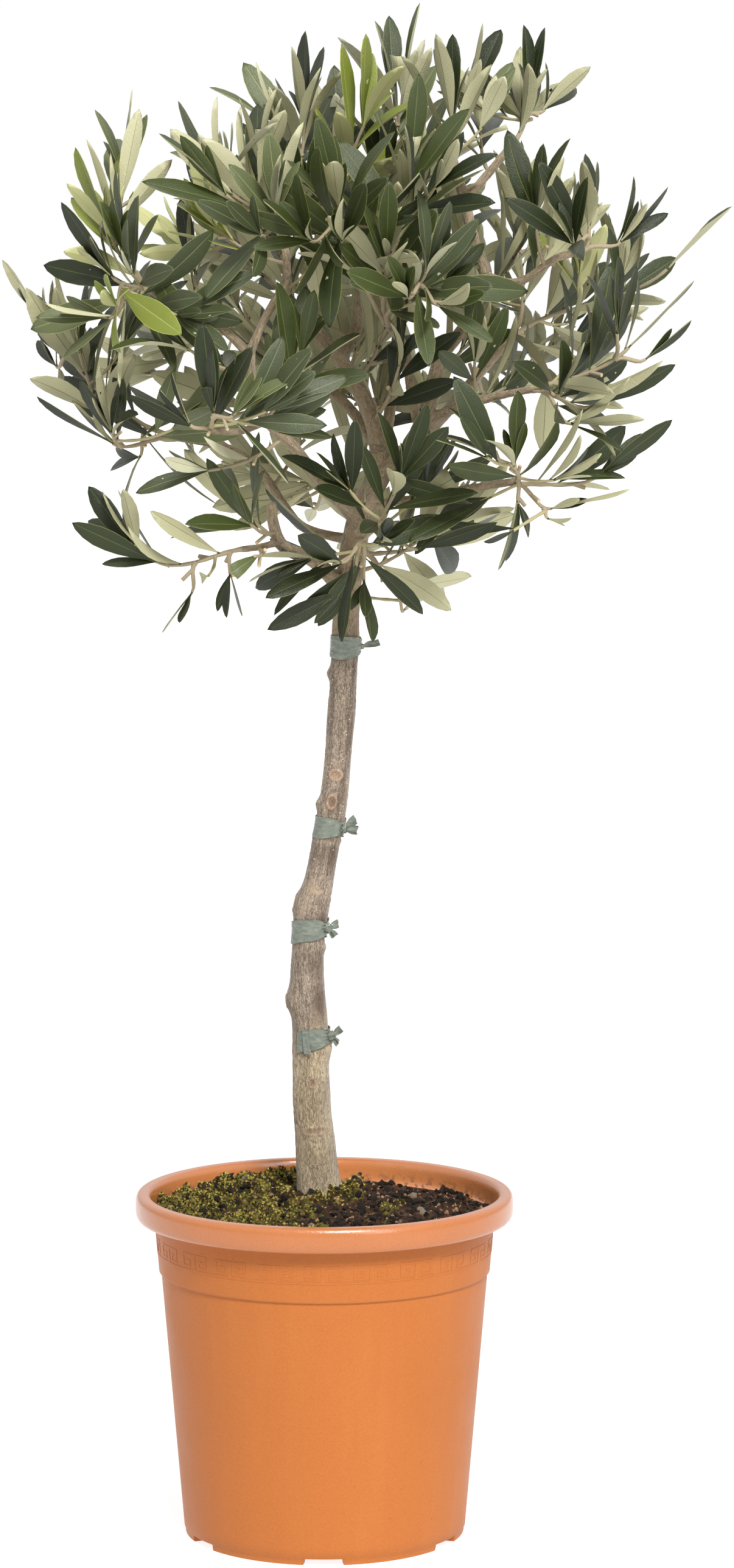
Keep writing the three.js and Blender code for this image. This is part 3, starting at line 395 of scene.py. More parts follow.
class Path:
    """A line through many close points, read by the share of its length."""

    def __init__(self, points):
        self.points = rows_of(points)
        steps = np.linalg.norm(np.diff(self.points, axis=0), axis=1)
        self.reach = np.concatenate(([0.0], np.cumsum(steps)))
        self.length = float(self.reach[-1])

    def at(self, share):
        reach = share * self.length
        return Vector([np.interp(reach, self.reach, self.points[:, axis]) for axis in range(3)])

    def along(self, share):
        step = 0.01
        return (self.at(min(1, share + step)) - self.at(max(0, share - step))).normalized()

    def evenly(self, count):
        return [self.at(i / count) for i in range(count + 1)]


def smooth_path(points, fine=12):
    """A centripetal curve through the points, as the wood of the frame follows."""
    knots = [Vector(point[:3]) for point in points]
    knots = [2 * knots[0] - knots[1], *knots, 2 * knots[-1] - knots[-2]]
    line = [knots[1]]
    for before, start, end, after in zip(knots, knots[1:], knots[2:], knots[3:]):
        first = sqrt((start - before).length)
        middle = sqrt((end - start).length)
        last = sqrt((after - end).length)
        leave = (start - before) / first - (end - before) / (first + middle) + (end - start) / middle
        enter = (end - start) / middle - (after - start) / (middle + last) + (after - end) / last
        leave *= middle
        enter *= middle
        for i in range(1, fine + 1):
            t = i / fine
            bend = start + leave * t + (3 * (end - start) - 2 * leave - enter) * t ** 2
            line.append(bend + (2 * (start - end) + leave + enter) * t ** 3)
    return Path(line)


def arched_path(corners, fine=20):
    """A cubic arch from the first corner to the last."""
    a, b, c, d = corners
    line = []
    for i in range(fine + 1):
        t = i / fine
        s = 1 - t
        line.append(a * s ** 3 + b * (3 * s * s * t) + c * (3 * s * t * t) + d * t ** 3)
    return Path(line)


def around_axis(axis, angle):
    """The direction square to an axis at an angle round it, measured from the level."""
    nearly_upright = 0.95
    reference = Vector((0, 1, 0)) if abs(axis.z) > nearly_upright else UP
    side = reference.cross(axis).normalized()
    return Quaternion(axis, angle) @ side


# Node trees


def put(socket, value):
    """Feeds a socket from another socket, or sets it to a plain value."""
    if isinstance(value, bpy.types.NodeSocket):
        socket.id_data.links.new(value, socket)
    else:
        socket.default_value = value


class Nodes:
    """A node tree under construction."""

    def __init__(self, tree):
        self.tree = tree

    def add(self, kind, feeds=None, **settings):
        node = self.tree.nodes.new(kind)
        for key, value in settings.items():
            setattr(node, key, value)
        for key, value in (feeds or {}).items():
            put(node.inputs[key], value)
        return node

    def first(self, kind, feeds=None, **settings):
        """The first output of a new node."""
        return self.add(kind, feeds, **settings).outputs[0]

    def sum(self, operation, *values):
        return self.first("ShaderNodeMath", dict(enumerate(values)), operation=operation)

    def times(self, *values):
        return self.sum("MULTIPLY", *values)

    def split(self, vector):
        return self.add("ShaderNodeSeparateXYZ", {0: vector}).outputs

    def joined(self, *parts):
        return self.first("ShaderNodeCombineXYZ", dict(enumerate(parts)))

    def step(self, value, low, high, bottom=0.0, top=1.0):
        """Maps a value's stretch from low to high onto bottom to top, and clamps it."""
        feeds = {0: value, 1: low, 2: high, 3: bottom, 4: top}
        return self.first("ShaderNodeMapRange", feeds)


class Wiring(Nodes):
    """A geometry node tree that takes a geometry and named sizes, and gives a geometry."""

    def __init__(self, name):
        super().__init__(bpy.data.node_groups.new(name, "GeometryNodeTree"))
        for direction in ("INPUT", "OUTPUT"):
            self.tree.interface.new_socket("Geometry", in_out=direction, socket_type="NodeSocketGeometry")
        self.given = self.tree.nodes.new("NodeGroupInput")
        self.result = self.tree.nodes.new("NodeGroupOutput")

    @property
    def geometry(self):
        return self.given.outputs["Geometry"]

    def sizes(self, kinds):
        """Named inputs, each of its own kind."""
        for name, kind in kinds.items():
            self.tree.interface.new_socket(name, in_out="INPUT", socket_type="NodeSocket" + kind)
        return [self.given.outputs[name] for name in kinds]

    def vector(self, operation, *values):
        return self.first("ShaderNodeVectorMath", dict(enumerate(values)), operation=operation)

    def scaled(self, vector, factor):
        return self.first("ShaderNodeVectorMath", {0: vector, "Scale": factor}, operation="SCALE")

    def realized(self, geometry):
        return self.first("GeometryNodeRealizeInstances", {"Geometry": geometry})

    def form(self, given):
        """The shape of an object that is given as a form to copy."""
        return self.add("GeometryNodeObjectInfo", {"Object": given, "As Instance": False}).outputs["Geometry"]

    def copies(self, points, form, **feeds):
        feeds = {"Points": points, "Instance": form, **feeds}
        return self.first("GeometryNodeInstanceOnPoints", feeds)

    def position(self):
        return self.first("GeometryNodeInputPosition")

    def named(self, name, kind="FLOAT"):
        node = self.add("GeometryNodeInputNamedAttribute", {"Name": name}, data_type=kind)
        return node.outputs["Attribute"]

    def dress(self, geometry, materials, kinds="kind"):
        """Gives each kind of face its own material, or all faces the only one."""
        for number, material in enumerate(materials):
            feeds = {"Geometry": geometry, "Material": material}
            if len(materials) > 1:
                pair = {2: self.named(kinds, "INT"), 3: number}
                feeds["Selection"] = self.first("FunctionNodeCompare", pair, data_type="INT",
                                                operation="EQUAL")
            geometry = self.first("GeometryNodeSetMaterial", feeds)
        return geometry

    def close(self, geometry):
        put(self.result.inputs["Geometry"], geometry)
        return self.tree


def grown(name, source, tree, inputs):
    """A plain mesh object made from a source by a geometry node tree. The source is used up."""
    modifier = source.modifiers.new("growth", "NODES")
    modifier.node_group = tree
    for item in tree.interface.items_tree:
        if item.item_type == "SOCKET" and item.in_out == "INPUT" and item.name in inputs:
            modifier[item.identifier] = inputs[item.name]
    bpy.context.view_layer.update()
    mesh = evaluated_mesh(source)
    source.modifiers.remove(modifier)
    remove(source)
    mesh.name = name
    return placed(name, mesh)


def rods_tree():
    """Round rods along chains of edges, as thick as each point says."""
    net = Wiring("rods")
    sides, material = net.sizes({"Sides": "Int", "Material": "Material"})
    curves = net.first("GeometryNodeMeshToCurve", {"Mesh": net.geometry})
    ring = net.first("GeometryNodeCurvePrimitiveCircle", {"Resolution": sides, "Radius": 1.0})
    swept = net.first("GeometryNodeCurveToMesh", {
        "Curve": curves,
        "Profile Curve": ring,
        "Scale": net.named("girth"),
        "Fill Caps": True,
    })
    smooth = net.first("GeometryNodeSetShadeSmooth", {"Geometry": swept})
    return net.close(net.dress(net.realized(smooth), [material]))


def leaves_tree():
    """One leaf on each point, bent by the point's own numbers. The leaf form has x across from -1
    to 1, y from root to tip and z as its thickness in metres."""
    net = Wiring("leaves")
    whole, clipped = net.sizes({"Whole leaf": "Object", "Clipped leaf": "Object"})
    materials = net.sizes(dict.fromkeys(LEAF_SKINS, "Material"))
    rooted = net.first("GeometryNodeStoreNamedAttribute", {
        "Geometry": net.geometry,
        "Name": "root",
        "Value": net.position(),
    }, data_type="FLOAT_VECTOR", domain="POINT")
    cut = net.named("clipped", "BOOLEAN")
    uncut = net.first("FunctionNodeBooleanMath", {0: cut}, operation="NOT")
    joined = net.add("GeometryNodeJoinGeometry")
    for form, chosen in ((whole, uncut), (clipped, cut)):
        put(joined.inputs[0], net.copies(rooted, net.form(form), Selection=chosen))
    root = net.named("root", "FLOAT_VECTOR")
    x, t, z = net.split(net.vector("SUBTRACT", net.position(), root))
    length, width, arch, fold, twist, wave = (
        net.named(name) for name in ("length", "width", "arch", "fold", "twist", "wave")
    )
    across = net.times(x, net.times(width, 0.5))
    spread_out = net.sum("ABSOLUTE", across)
    flat = net.times(across, net.sum("COSINE", fold))
    ripple = net.sum("SINE", net.sum("MULTIPLY_ADD", t, 8.5, net.times(wave, 9.0)))
    rise = net.sum("MULTIPLY_ADD", ripple, wave, net.sum("SINE", fold))
    lift = net.sum("MULTIPLY_ADD", spread_out, rise, z)
    blade = net.first("GeometryNodeStoreNamedAttribute", {
        "Geometry": net.realized(joined.outputs[0]),
        "Name": "blade",
        "Value": net.joined(x, t, 0.0),
    }, data_type="FLOAT_VECTOR", domain="POINT")
    turn = net.times(twist, t)
    cosine = net.sum("COSINE", turn)
    sine = net.sum("SINE", turn)
    sideways = net.sum("SUBTRACT", net.times(flat, cosine), net.times(lift, sine))
    height = net.sum("ADD", net.times(flat, sine), net.times(lift, cosine))
    bend = net.times(arch, t)
    shorten = net.sum("MULTIPLY_ADD", net.times(bend, bend), -1 / 6, 1.0)
    forward = net.times(net.times(length, t), shorten)
    droop = net.times(net.times(length, t), net.times(bend, -0.5))
    upward = net.sum("ADD", height, droop)
    place = root
    for axis, reach in (("side", sideways), ("along", forward), ("face", upward)):
        place = net.vector("ADD", place, net.scaled(net.named(axis, "FLOAT_VECTOR"), reach))
    bent = net.first("GeometryNodeSetPosition", {"Geometry": blade, "Position": place})
    return net.close(net.dress(bent, materials))


def scatter_tree():
    """Small forms strewn over a surface, thickest where the attribute named amount is one."""
    net = Wiring("scatter")
    form, density, least, most, tilt, seed, material = net.sizes({
        "Form": "Object", "Per square metre": "Float", "Least size": "Float", "Most size": "Float",
        "Tilt": "Float", "Seed": "Int", "Material": "Material",
    })
    strewn = net.add("GeometryNodeDistributePointsOnFaces", {
        "Mesh": net.geometry,
        "Density": net.times(density, net.named("amount")),
        "Seed": seed,
    }, distribute_method="RANDOM")
    down = net.times(tilt, -1.0)
    span = {0: net.joined(down, down, 0.0), 1: net.joined(tilt, tilt, tau), "Seed": seed}
    angles = net.first("FunctionNodeRandomValue", span, data_type="FLOAT_VECTOR")
    turned = net.first("FunctionNodeEulerToRotation", {0: angles})
    aimed = net.first("FunctionNodeRotateRotation", {
        "Rotation": strewn.outputs["Rotation"],
        "Rotate By": turned,
    }, rotation_space="LOCAL")
    sizes = net.add("FunctionNodeRandomValue", {2: least, 3: most, "Seed": seed}, data_type="FLOAT")
    copies = net.copies(strewn.outputs["Points"], net.form(form), Rotation=aimed,
                        Scale=sizes.outputs[1])
    return net.close(net.dress(net.realized(copies), [material]))


def strew(name, ground, form, density, sizes, tilt, seed, material):
    """Forms strewn over a ground as one piece. The ground and the form are used up."""
    piece = grown(name, ground, scatter_tree(), {
        "Form": form,
        "Per square metre": float(density),
        "Least size": sizes[0] * MM,
        "Most size": sizes[1] * MM,
        "Tilt": float(tilt),
        "Seed": seed,
        "Material": material,
    })
    remove(form)
    return piece


def round_band_tree():
    """Copies of a flat form side by side, wrapped round a cone. The form has x along the band,
    y outwards and z up."""
    net = Wiring("round_band")
    count, pitch, radius, slope, foot, material = net.sizes({
        "Copies": "Int", "Pitch": "Float", "Radius at foot": "Float", "Slope": "Float",
        "Foot height": "Float", "Material": "Material",
    })
    line = net.first("GeometryNodeMeshLine", {"Count": count, "Offset": net.joined(pitch, 0.0, 0.0)})
    copies = net.copies(line, net.geometry)
    x, y, z = net.split(net.position())
    whole = net.times(pitch, count)
    angle = net.times(net.sum("DIVIDE", x, whole), tau)
    cone = net.sum("MULTIPLY_ADD", net.sum("SUBTRACT", z, foot), slope, radius)
    reach = net.sum("ADD", cone, y)
    along = net.times(reach, net.sum("SINE", angle))
    back = net.times(net.times(reach, net.sum("COSINE", angle)), -1.0)
    place = net.joined(along, back, z)
    bent = net.first("GeometryNodeSetPosition", {"Geometry": net.realized(copies), "Position": place})
    return net.close(net.dress(bent, [material]))


# Materials


class Paint(Nodes):
    """A material under construction, with its shader and the coordinates of the piece."""

    def __init__(self, name, colour, roughness, gloss=0.5, **plain):
        self.material = bpy.data.materials.new(name)
        self.material.use_nodes = True
        super().__init__(self.material.node_tree)
        self.shader = self.tree.nodes["Principled BSDF"]
        plain.update(base_color=tint(*colour), roughness=roughness)
        for key, value in plain.items():
            self.shader.inputs[key.replace("_", " ").title()].default_value = value
        self.shader.inputs["Specular IOR Level"].default_value = gloss
        self.place = self.add("ShaderNodeTexCoord").outputs["Object"]

    def named(self, name, output="Fac"):
        return self.add("ShaderNodeAttribute", attribute_name=name).outputs[output]

    def stretched(self, place, along):
        feeds = {"Vector": place, "Scale": (1.0, 1.0, along)}
        return self.first("ShaderNodeMapping", feeds)

    def grain(self, scale, detail=3.0, place=None, rough=0.55, warp=0.0):
        """Cloudy noise from 0 to 1."""
        feeds = {"Vector": place or self.place, "Scale": scale, "Detail": detail, "Roughness": rough,
                 "Distortion": warp}
        return self.add("ShaderNodeTexNoise", feeds).outputs["Fac"]

    def cells(self, scale, place=None):
        feeds = {"Vector": place or self.place, "Scale": scale}
        return self.add("ShaderNodeTexVoronoi", feeds).outputs["Distance"]

    def blend(self, share, *colours):
        """Mixes two colours, each worked out before or given as a screen colour of 0 to 255."""
        low, high = (tint(*each) if isinstance(each, tuple) else each for each in colours)
        return self.add("ShaderNodeMix", {0: share, 6: low, 7: high}, data_type="RGBA").outputs[2]

    def cover(self, colour, over, pattern, *steps):
        """Lays a colour over another where a pattern's steps say."""
        return self.blend(self.step(pattern, *steps), colour, over)

    def relief(self, height, strength, distance, under=None):
        feeds = {"Height": height, "Strength": strength, "Distance": distance}
        if under:
            feeds["Normal"] = under
        return self.first("ShaderNodeBump", feeds)

    def use(self, colour=None, roughness=None, normal=None):
        for key, value in (("Base Color", colour), ("Roughness", roughness), ("Normal", normal)):
            if value is not None:
                put(self.shader.inputs[key], value)
        return self.material


def pot_plastic(name, roughness, gloss, **plain):
    """Satin terracotta-coloured plastic with an orange-peel skin, faint scuffs, a little dirt, and its inner
    wall painted paler as painted light.
    """
    paint = Paint(name, (184, 106, 46), roughness, gloss, **plain)
    x, y, z = paint.split(paint.place)
    colour = paint.blend(paint.grain(14.0, 4.0), (180, 104, 46), (189, 111, 52))
    colour = paint.cover(colour, (168, 94, 42), paint.grain(1000.0, 3.0), 0.42, 0.6, 0.0, 0.38)
    streaks = paint.grain(60.0, 2.0, paint.stretched(paint.place, 0.08))
    colour = paint.cover(colour, (196, 118, 60), streaks, 0.5, 0.8, 0.0, 0.2)
    across = paint.times(x, x)
    outward = paint.sum("SQRT", paint.sum("MULTIPLY_ADD", y, y, across))
    within = paint.times(paint.step(outward, 0.1115, 0.1095), paint.step(z, 0.2026, 0.2034))
    smudges = paint.step(paint.grain(90.0, 6.0, rough=0.7), 0.58, 0.7, 0.0, 0.5)
    splashes = paint.times(paint.step(z, 0.2125, 0.2065), paint.step(paint.grain(260.0, 5.0), 0.52, 0.6))
    dirt = paint.times(within, paint.sum("MAXIMUM", smudges, splashes))
    # Painted light: the inner wall above the soil is painted paler, as if lit from above.
    colour = paint.blend(paint.times(within, 0.7), colour, (232, 152, 98))
    specks = paint.step(paint.cells(90.0), 0.07, 0.05)
    rare = paint.step(paint.grain(9.0, 1.0), 0.56, 0.6)
    dirt = paint.sum("MAXIMUM", dirt, paint.times(paint.times(specks, rare), 0.4))
    colour = paint.blend(paint.times(dirt, 0.7), colour, (92, 60, 40))
    roughness = paint.step(paint.grain(30.0, 5.0), 0.3, 0.7, roughness - 0.05, roughness + 0.05)
    roughness = paint.sum("MAXIMUM", roughness, paint.times(dirt, 0.9))
    swell = paint.relief(paint.grain(22.0, 2.0), 0.1, 0.002)
    return paint.use(colour, roughness, paint.relief(paint.grain(900.0, 2.0), 0.7, 0.0002, swell))


def bark(name, dark, light):
    """Olive bark: pale with fine wavy furrows near the foot, brown, streaked and speckled above. Its furrows
    are darker partly as painted shade, and its tone carries painted shade and a painted highlight.
    """
    paint = Paint(name, (140, 124, 104), 0.8, gloss=0.35, sheen_weight=0.35, sheen_roughness=0.35)
    grain = paint.named("grain", "Vector")
    crevice, lower, tone, scar = map(paint.named, ("crevice", "lower", "tone", "scar"))
    streaks = paint.grain(1900.0, 2.0, paint.stretched(grain, 0.25), 0.6, 0.7)
    speckle = paint.grain(1900.0, 2.0, paint.stretched(grain, 0.6))
    patches = paint.grain(40.0, 4.0, paint.stretched(grain, 0.5))
    furrow = 0.0
    for scale, depth in ((820.0, 1.0), (1350.0, 0.7)):
        wander = paint.grain(scale, 1.0, paint.stretched(grain, 0.17), 0.5, 0.8)
        line = paint.step(paint.sum("ABSOLUTE", paint.sum("SUBTRACT", wander, 0.5)), 0.0, 0.06, depth, 0.0)
        furrow = paint.sum("MAXIMUM", furrow, line)
    bands = paint.grain(520.0, 2.0, paint.stretched(grain, 0.07), 0.6, 0.6)
    brown = paint.blend(paint.step(streaks, 0.32, 0.62), dark, light)
    brown = paint.cover(brown, dark, bands, 0.48, 0.6, 0.0, 0.6)
    brown = paint.cover(brown, (146, 130, 113), patches, 0.35, 0.65, 0.0, 0.3)
    brown = paint.cover(brown, (190, 174, 154), speckle, 0.54, 0.66, 0.0, 0.6)
    beige = paint.blend(paint.step(patches, 0.3, 0.7), (184, 164, 132), (206, 187, 155))
    beige = paint.cover(beige, (208, 196, 168), speckle, 0.5, 0.7, 0.0, 0.4)
    # The furrow lines near the foot are darkened: partly the bark's own darker colour, partly painted shade.
    beige = paint.blend(paint.times(furrow, 0.85), beige, (92, 77, 57))
    colour = paint.blend(lower, brown, beige)
    # Deep furrows in the mesh are darkened: partly the bark's own darker colour, partly painted shade.
    colour = paint.cover(colour, (84, 72, 58), crevice, 0.2, 1.0, 0.0, 0.4)
    healed = paint.blend(paint.step(speckle, 0.4, 0.6), (146, 118, 96), (184, 158, 132))
    colour = paint.blend(scar, colour, healed)
    # Tone darkens and pales the bark: its stains, pale places and random tone, partly painted shade in the
    # scars' hollows and grooves, painted shade on the trunk's two sides and a painted highlight down its
    # front.
    colour = paint.cover(colour, (76, 58, 46), tone, 0.0, -1.0, 0.0, 0.85)
    colour = paint.cover(colour, (196, 174, 144), tone, 0.1, 1.0, 0.0, 0.8)
    bumps = paint.relief(streaks, 0.5, 0.0005)
    bumps = paint.relief(paint.times(furrow, lower), 0.6, -0.0005, bumps)
    bumps = paint.relief(speckle, 0.3, 0.0003, bumps)
    return paint.use(colour, paint.step(patches, 0.3, 0.7, 0.62, 0.85), bumps)


def plain_wood(name, colour, roughness=0.8):
    """Smooth young bark, one colour with a fine grain."""
    paint = Paint(name, colour, roughness, gloss=0.3)
    return paint.use(normal=paint.relief(paint.grain(1100.0, 2.0), 0.4, 0.0003))


def soil_earth():
    """Dark crumbly compost, green and yellow-green where moss covers it."""
    paint = Paint("soil_earth", (54, 38, 26), 0.95, gloss=0.2)
    moss = paint.named("moss")
    crumbs = paint.grain(420.0, 5.0, rough=0.75)
    patches = paint.grain(60.0, 4.0)
    earth = paint.blend(paint.step(crumbs, 0.35, 0.65), (24, 15, 10), (84, 60, 42))
    earth = paint.cover(earth, (82, 48, 34), patches, 0.5, 0.72, 0.0, 0.5)
    green = paint.blend(paint.step(crumbs, 0.35, 0.68), (52, 46, 20), (140, 128, 60))
    green = paint.cover(green, (62, 44, 26), patches, 0.45, 0.6)
    ragged = paint.sum("MULTIPLY_ADD", crumbs, 0.7, paint.sum("SUBTRACT", moss, 0.35))
    colour = paint.blend(paint.step(ragged, 0.35, 0.6), earth, green)
    return paint.use(colour, 0.95, paint.relief(crumbs, 1.0, 0.0016))


def tape_skin():
    """Thin grey-green binding tape with stretch marks, small scuffs and a dull shine."""
    paint = Paint("tape_skin", (108, 118, 108), 0.26, gloss=0.55)
    pulls = paint.grain(240.0, 3.0, paint.stretched(paint.place, 2.2))
    marks = paint.step(paint.grain(230.0, 5.0, rough=0.7), 0.6, 0.68)
    colour = paint.blend(paint.step(pulls, 0.35, 0.7), (99, 106, 96), (128, 135, 121))
    colour = paint.blend(paint.times(marks, 0.5), colour, (172, 156, 134))
    roughness = paint.step(pulls, 0.3, 0.7, 0.16, 0.3)
    creases = paint.grain(110.0, 2.0, paint.stretched(paint.place, 1.8))
    creases = paint.relief(creases, 0.5, 0.0015)
    return paint.use(colour, roughness, paint.relief(pulls, 0.6, 0.0007, creases))


def leaf_skin(name, colour, roughness, veins, gloss):
    """One plain leaf colour, with a leathery grain and faint side veins slanting from the rib."""
    paint = Paint(name, colour, roughness, gloss)
    bumps = paint.relief(paint.grain(1300.0, 3.0), 0.8, 0.0004)
    if veins:
        x, t, _ = paint.split(paint.named("blade", "Vector"))
        slant = paint.sum("MULTIPLY_ADD", t, 17.0, paint.times(paint.sum("ABSOLUTE", x), -1.6))
        wave = paint.sum("SINE", paint.times(slant, tau))
        bumps = paint.relief(paint.step(wave, 0.5, 1.0), veins, 0.0003, bumps)
    return paint.use(normal=bumps)


# Trunk and boughs


def trunk_radius(height, bearing):
    """The trunk's radius in millimetres at a height and a bearing."""
    heights = [entry[2] for entry in TRUNK_PATH]
    radius = np.interp(height, heights, [entry[3] / 2 for entry in TRUNK_PATH])
    radius = radius * (1 + FLARE * np.exp(-(height - heights[0]) / FLARE_HEIGHT))
    for knot_height, knot_bearing, swell, reach in KNOTS:
        near = np.exp(-(((height - knot_height) / reach) ** 2))
        facing = np.maximum(0, np.cos(bearing - radians(knot_bearing)))
        radius = radius + swell * near * facing ** (5 if reach < BUD_REACH else 1.6)
    return float(radius)


def bough_radius(name, share):
    foot, end, _ = BOUGHS[name]
    return float(mix(foot, end, share) / 2 * (1 + 0.12 * np.exp(-share * 10)))


trunk_path = smooth_path(TRUNK_PATH)
bough_paths = {name: smooth_path(points) for name, (_, _, points) in BOUGHS.items()}


def trunk_share(height):
    return float(np.interp(height, trunk_path.points[:, 2], trunk_path.reach)) / trunk_path.length


def trunk_at(height):
    return trunk_path.at(trunk_share(height))


def frames_along(path, count):
    """Points at even steps along a path, each with two axes square to it, without twist."""
    ways = [path.along(i / count) for i in range(count + 1)]
    nearly_level = 0.9
    across = Vector((1, 0, 0)) if abs(ways[0].x) < nearly_level else Vector((0, 1, 0))
    frames = []
    for point, way in zip(path.evenly(count), ways):
        across = (across - way * across.dot(way)).normalized()
        frames.append((point, across, way.cross(across)))
    return frames


def ripple_noise(place, across_scale, along_scale):
    x, y, z = place
    return noise_at(x * across_scale, y * across_scale, z * along_scale)


def furrows(place, lower):
    """The height in millimetres and the depth from 0 to 1 of the bark's furrows at a point of its grain."""
    sway = 2.4 * ripple_noise(place, 0.16, 0.1)
    swayed = (place[0] + sway, place[1] + sway, place[2])
    line = max(0.0, 1 - abs(ripple_noise(swayed, 0.42, 0.08)) / 0.24)
    wrinkle = max(0.0, 1 - abs(ripple_noise(place, 0.16, 0.5)) / 0.2)
    lumps = ripple_noise(place, 0.08, 0.04)
    fine = ripple_noise(place, 0.9, 0.3)
    height = 0.6 * lumps + 0.12 * fine - line * mix(0.1, 0.32, lower) - wrinkle * mix(0.12, 0.05, lower)
    return height, line


def scar_relief(height, bearing, radius):
    """Relief, tone and share of the healed scars, level wrinkles and marks at a place on the trunk."""
    relief = tone = scar = 0.0
    for scar_height, scar_bearing, half_width, half_height, strength in SCARS:
        turn = remainder(bearing - radians(scar_bearing), tau)
        off = hypot(turn * radius / half_width, (height - scar_height) / half_height)
        if off < 2.2:
            lip = exp(-(((off - 1) / 0.3) ** 2))
            hollow = exp(-((off / 0.45) ** 2))
            groove = exp(-(((off - 0.6) / 0.2) ** 2)) + 0.7 * exp(-(((off - 1.35) / 0.2) ** 2))
            relief += strength * (0.7 * lip - 0.7 * hollow - 0.35 * groove)
            # The scars' hollows and grooves are darkened with their depth: partly the scars' own darker wood,
            # partly painted shade.
            tone -= strength * (1.1 * hollow + 0.7 * groove)
            scar = max(scar, min(1.0, 1.4 * strength) * float(np.clip((1.25 - off) / 0.2, 0, 1)))
    for wrinkle_height, depth in WRINKLES:
        wander = 1.4 * sin(2 * bearing + wrinkle_height) + 0.7 * sin(5 * bearing)
        off = (height - wrinkle_height - wander) / 1.3
        relief += depth * exp(-off * off) - 0.6 * depth * exp(-((off - 1.8) ** 2))
    # The marks add stains and pale places, and painted shade on the trunk's sides and a painted highlight
    # down its front.
    for mark_height, mark_bearing, half_turn, half_height, shade in MARKS:
        turn = remainder(bearing - radians(mark_bearing), tau) / half_turn
        rise = (height - mark_height) / half_height
        if abs(turn) < 2.5 and abs(rise) < 2.5:
            tone += shade * exp(-turn * turn - rise * rise)
    return relief, tone, scar


STEM = Facts(top=569, samples=200, sides=112, step=0.66, lower_end=322, lower_fade=34, sunk=0.1)


def lower_share(height):
    """1 on the pale furrowed bark near the foot, falling to 0 on the browner bark above."""
    return float(np.clip((STEM.lower_end - height) / STEM.lower_fade + 0.5, 0, 1))


def make_stem():
    """The trunk from the soil to the top tie, ring by ring, with its bark in relief."""
    ground = TRUNK_PATH[0][2]
    share_top = trunk_share(STEM.top)
    rings = int(trunk_path.length * share_top / STEM.step)
    path = Path([trunk_path.at(share_top * i / STEM.samples) for i in range(STEM.samples + 1)])
    rows = []
    for k, (centre, across, other) in enumerate(frames_along(path, rings)):
        reach = k * STEM.step
        for angle in turns(STEM.sides):
            out = across * cos(angle) + other * sin(angle)
            bearing = atan2(out.y, out.x)
            radius = trunk_radius(centre.z, bearing)
            grain = (radius * cos(angle), radius * sin(angle), reach)
            lower = lower_share(centre.z + 20 * ripple_noise(grain, 0.07, 0.02) - 10 * out.x)
            height, depth = furrows(grain, lower)
            relief, tone, scar = scar_relief(centre.z, bearing, radius)
            tone += 0.5 * ripple_noise(grain, 0.07, 0.03)
            calm = 1 - 0.7 * min(1.0, max(0.0, tone))
            point = centre + out * (radius - STEM.sunk + height * calm + relief)
            point.z = max(point.z, ground)
            rows.append((point, grain, depth * calm, lower, tone, scar))
    points, grains, crevices, lowers, tones, scars = zip(*rows)
    stem = mesh_object("stem_bark", points, tube_faces(rings, STEM.sides))
    store_bark(stem.data, grains, crevice=crevices, lower=lowers, tone=tones, scar=scars)
    return stem


def store_bark(mesh, grains, **numbers):
    """Keeps what the bark's paint reads: the grain in millimetres, and a number for each name."""
    store(mesh, "grain", "FLOAT_VECTOR", np.array(grains) * MM)
    for name, values in numbers.items():
        store(mesh, name, "FLOAT", values)


BOUGH_MESH = Facts(sides=20, step=5, grid=0.82, calm=0.5, calming=5, start=563, samples=60, relief=0.7,
                   sunk=0.02, lower=0.1, next_grain=37.0)


def limb_lines():
    """Every limb of the crown: its path and its radius at a share of it, the trunk's top first."""
    low = trunk_share(BOUGH_MESH.start)
    count = BOUGH_MESH.samples
    top = Path([trunk_path.at(mix(low, 1, i / count)) for i in range(count + 1)])
    end = TRUNK_PATH[-1][2]
    lines = [(top, lambda share: trunk_radius(mix(BOUGH_MESH.start, end, share), 0.0) - STEM.sunk)]
    return lines + [(path, partial(bough_radius, name)) for name, path in bough_paths.items()]


def make_boughs():
    """The top of the trunk and all boughs, grown together where they fork, with bark in relief."""
    lines = limb_lines()
    limbs = []
    for path, radius_at in lines:
        count = max(3, round(path.length / BOUGH_MESH.step))
        points = []
        for k, (centre, across, other) in enumerate(frames_along(path, count)):
            for angle in turns(BOUGH_MESH.sides):
                out = across * cos(angle) + other * sin(angle)
                points.append(centre + out * radius_at(k / count))
        limbs.append((points, tube_faces(count, BOUGH_MESH.sides)))
    rough = mesh_object("rough_boughs", *joined_parts(limbs))
    remesh = rough.modifiers.new("grown_together", "REMESH")
    remesh.mode = "VOXEL"
    remesh.voxel_size = BOUGH_MESH.grid * MM
    calm = rough.modifiers.new("calmed", "SMOOTH")
    calm.factor = BOUGH_MESH.calm
    calm.iterations = BOUGH_MESH.calming
    mesh = evaluated_mesh(rough)
    remove(rough)
    return furrowed_boughs(mesh, lines)


